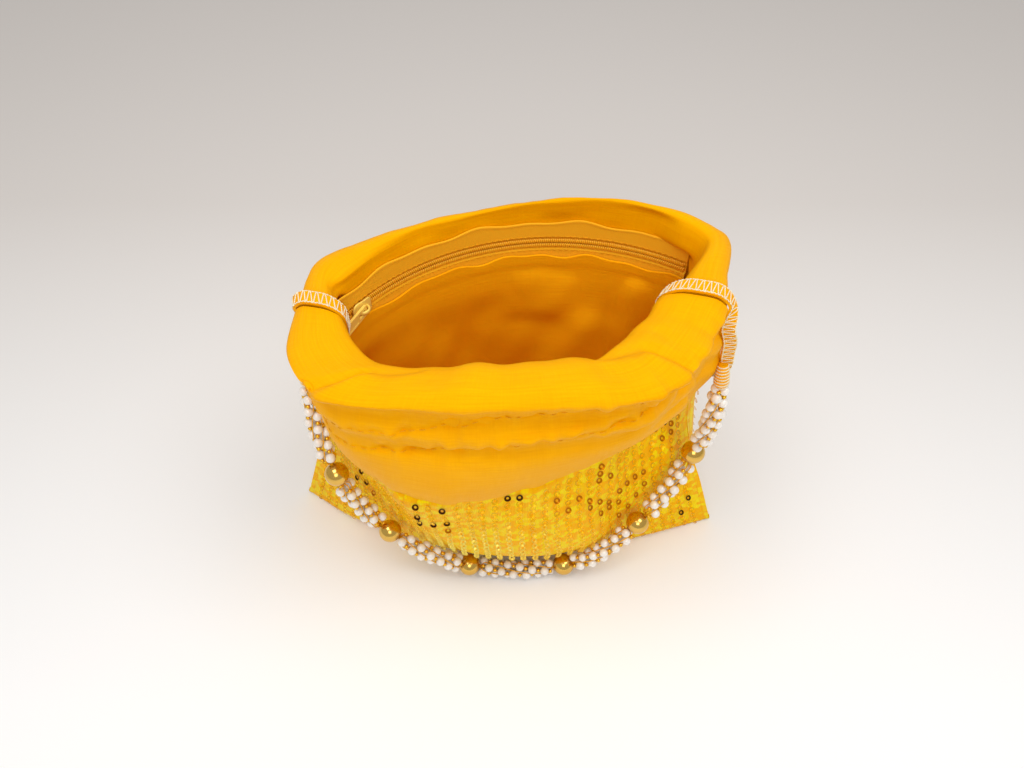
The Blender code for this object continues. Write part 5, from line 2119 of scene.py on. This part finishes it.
    def binding(self, name: str, last: bool) -> Piece:
        """One bound end: rings that lean from the last pearls to the side seam, and a thread round them.

        Args:
            name: which side it is on.
            last: whether it holds the end of the route, or its start.

        Returns:
            The binding, its core and thread in one.
        """
        dense, _, _ = self.route()
        end, before = (dense[-1], dense[-27]) if last else (dense[0], dense[26])
        strand = unit(end - before)
        away = unit(np.array(BINDING_TIPS[name]) - end)
        share = np.linspace(0, 1, 110)
        lean = np.interp(share, (0.0, 0.15, 0.7, 1.0), (0.0, 0.3, 1.0, 1.0))[:, None]
        radius = self.binding_radius * np.interp(share, (0.0, 0.15, 0.6, 1.0), (0.78, 0.92, 0.84, 0.6))
        axis = unit((1 - lean) * strand + lean * away)
        side = unit(np.cross(axis, [0.0, 1.0, 0.0]))
        over = np.cross(axis, side)
        path = end + 0.3 * strand + share[:, None] * self.binding_length * away
        rings = path[:, None] + (radius - 0.3)[:, None, None] * circle(side, over, 28)
        girth = 3.0 * np.linspace(0, TURN, 28, endpoint=False)
        flat = np.stack(np.broadcast_arrays(girth, share[:, None] * self.binding_length), -1)
        core = tubes(rings[None], path[None, [0, -1]], flat[None])
        turns = np.linspace(0.02, 0.98, 420)
        sweep = TURN * self.binding_turns * turns[:, None]
        path, side, over, axis = (read_along(rows, share, turns) for rows in (path, side, over, axis))
        reach = np.interp(turns, share, radius)[:, None] - 0.22
        thread = path + reach * (np.cos(sweep) * side + np.sin(sweep) * over)
        shapes = [core, rods(thread[None], self.binding_thread, 6, axis[None], slot=1)]
        piece = make_object(f"thread_binding_{name}", shapes, [self.wardrobe.silk, self.wardrobe.cream])
        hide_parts(f"handle_binding_{name}")
        return piece


@dataclass
class Studio:
    """The camera, the pale sheet and the soft lamps, in metres."""

    sheet: float = 3.0
    aim: tuple[float, float, float] = (0.0, 0.0, 0.08)
    room: float = 0.54
    lamps: tuple[tuple[str, tuple[float, float, float], float, float], ...] = (
        ("window", (-0.22, -0.13, 0.8), 0.32, 1.55),
        ("reflector", (0.28, -0.15, 0.74), 0.32, 1.55),
        ("fill", (0.0, -0.5, 0.56), 0.3, 0.95),
    )

    def camera(self) -> Piece:
        """The camera at the photograph's angle.

        Returns:
            The camera.
        """
        data = bpy.data.cameras.new("camera")
        data.lens = CAMERA_LENS
        data.sensor_width = CAMERA_SENSOR
        data.clip_start, data.clip_end = 0.02, 20.0
        made = bpy.data.objects.new("camera", data)
        made.location = CAMERA_PLACE * MM
        made.rotation_euler = (math.pi / 2 - CAMERA_PITCH, 0.0, 0.0)
        bpy.context.collection.objects.link(made)
        bpy.context.scene.camera = made
        return made

    def floor(self, finish: Material) -> Piece:
        """A wide pale sheet.

        Args:
            finish: the sheet's material.

        Returns:
            The sheet.
        """
        side = self.sheet / MM
        points = np.array([(-side, -side, 0), (side, -side, 0), (side, side, 0), (-side, side, 0)], float)
        made = make_object("pale_floor", [Shape(points, np.array([[0, 1, 2, 3]]))], [finish])
        return made

    def lamp(self, name: str, place: tuple[float, float, float], size: float, power: float) -> None:
        """A square soft lamp that faces the bag: its tilt and its turn are those of the way to the aim.

        Args:
            name: the lamp's name.
            place: where it stands.
            size: the side of its square.
            power: in watts.
        """
        data = bpy.data.lights.new(name, "AREA")
        data.shape = "SQUARE"
        data.size = size
        data.energy = power
        made = bpy.data.objects.new(name, data)
        made.location = place
        way = np.array(self.aim) - np.array(place)
        tilt = math.atan2(math.hypot(way[0], way[1]), -way[2])
        made.rotation_euler = (tilt, 0.0, math.atan2(way[1], way[0]) - math.pi / 2)
        bpy.context.collection.objects.link(made)

    def light(self) -> None:
        """An even world and the soft lamps."""
        world = bpy.data.worlds.new("soft room")
        world.use_nodes = True
        sockets = world.node_tree.nodes["Background"].inputs
        sockets["Color"].default_value = (1.0, 0.99, 0.98, 1.0)
        sockets["Strength"].default_value = self.room
        bpy.context.scene.world = world
        for name, place, size, power in self.lamps:
            self.lamp(name, place, size, power)


def main() -> None:
    """Dresses the whole bag, piece by piece."""
    logging.basicConfig(level=logging.INFO, format="%(name)s: %(message)s")
    bpy.context.scene.view_settings.view_transform = "Standard"
    studio = Studio()
    studio.camera()
    wardrobe = Wardrobe()
    PearlHandle(wardrobe).build()
    LOG.info("pearl handle strung")
    front, back = Wall(Side.FRONT), Wall(Side.BACK)
    SequinnedPanel(front, wardrobe, dark_places=DARK_SEQUINS, copper_places=COPPER_SEQUINS).build()
    SequinnedPanel(back, wardrobe, samples=188).build()
    LOG.info("body sewn and sequinned")
    SilkCollar(front, wardrobe, creases=FRONT_CREASES, courses=FRONT_COURSES).build()
    collar_back = SilkCollar(back, wardrobe, samples=260, rows=110)
    collar_back.build()
    LOG.info("collar gathered")
    Lining(front, wardrobe, samples=150).build()
    Lining(back, wardrobe, creases=LINING_CREASES).build()
    LOG.info("lining hung")
    ZipPocket(wardrobe).build()
    ZipSlider(wardrobe).build()
    LOG.info("zip set in")
    OverlockedSeam("left", 1.0, 0.988, collar_back, wardrobe).build()
    OverlockedSeam("right", 0.0, 0.012, collar_back, wardrobe, flare=math.radians(78)).build()
    LOG.info("seams overlocked")
    studio.floor(wardrobe.floor)
    studio.light()


if __name__ == "__main__":
    main()
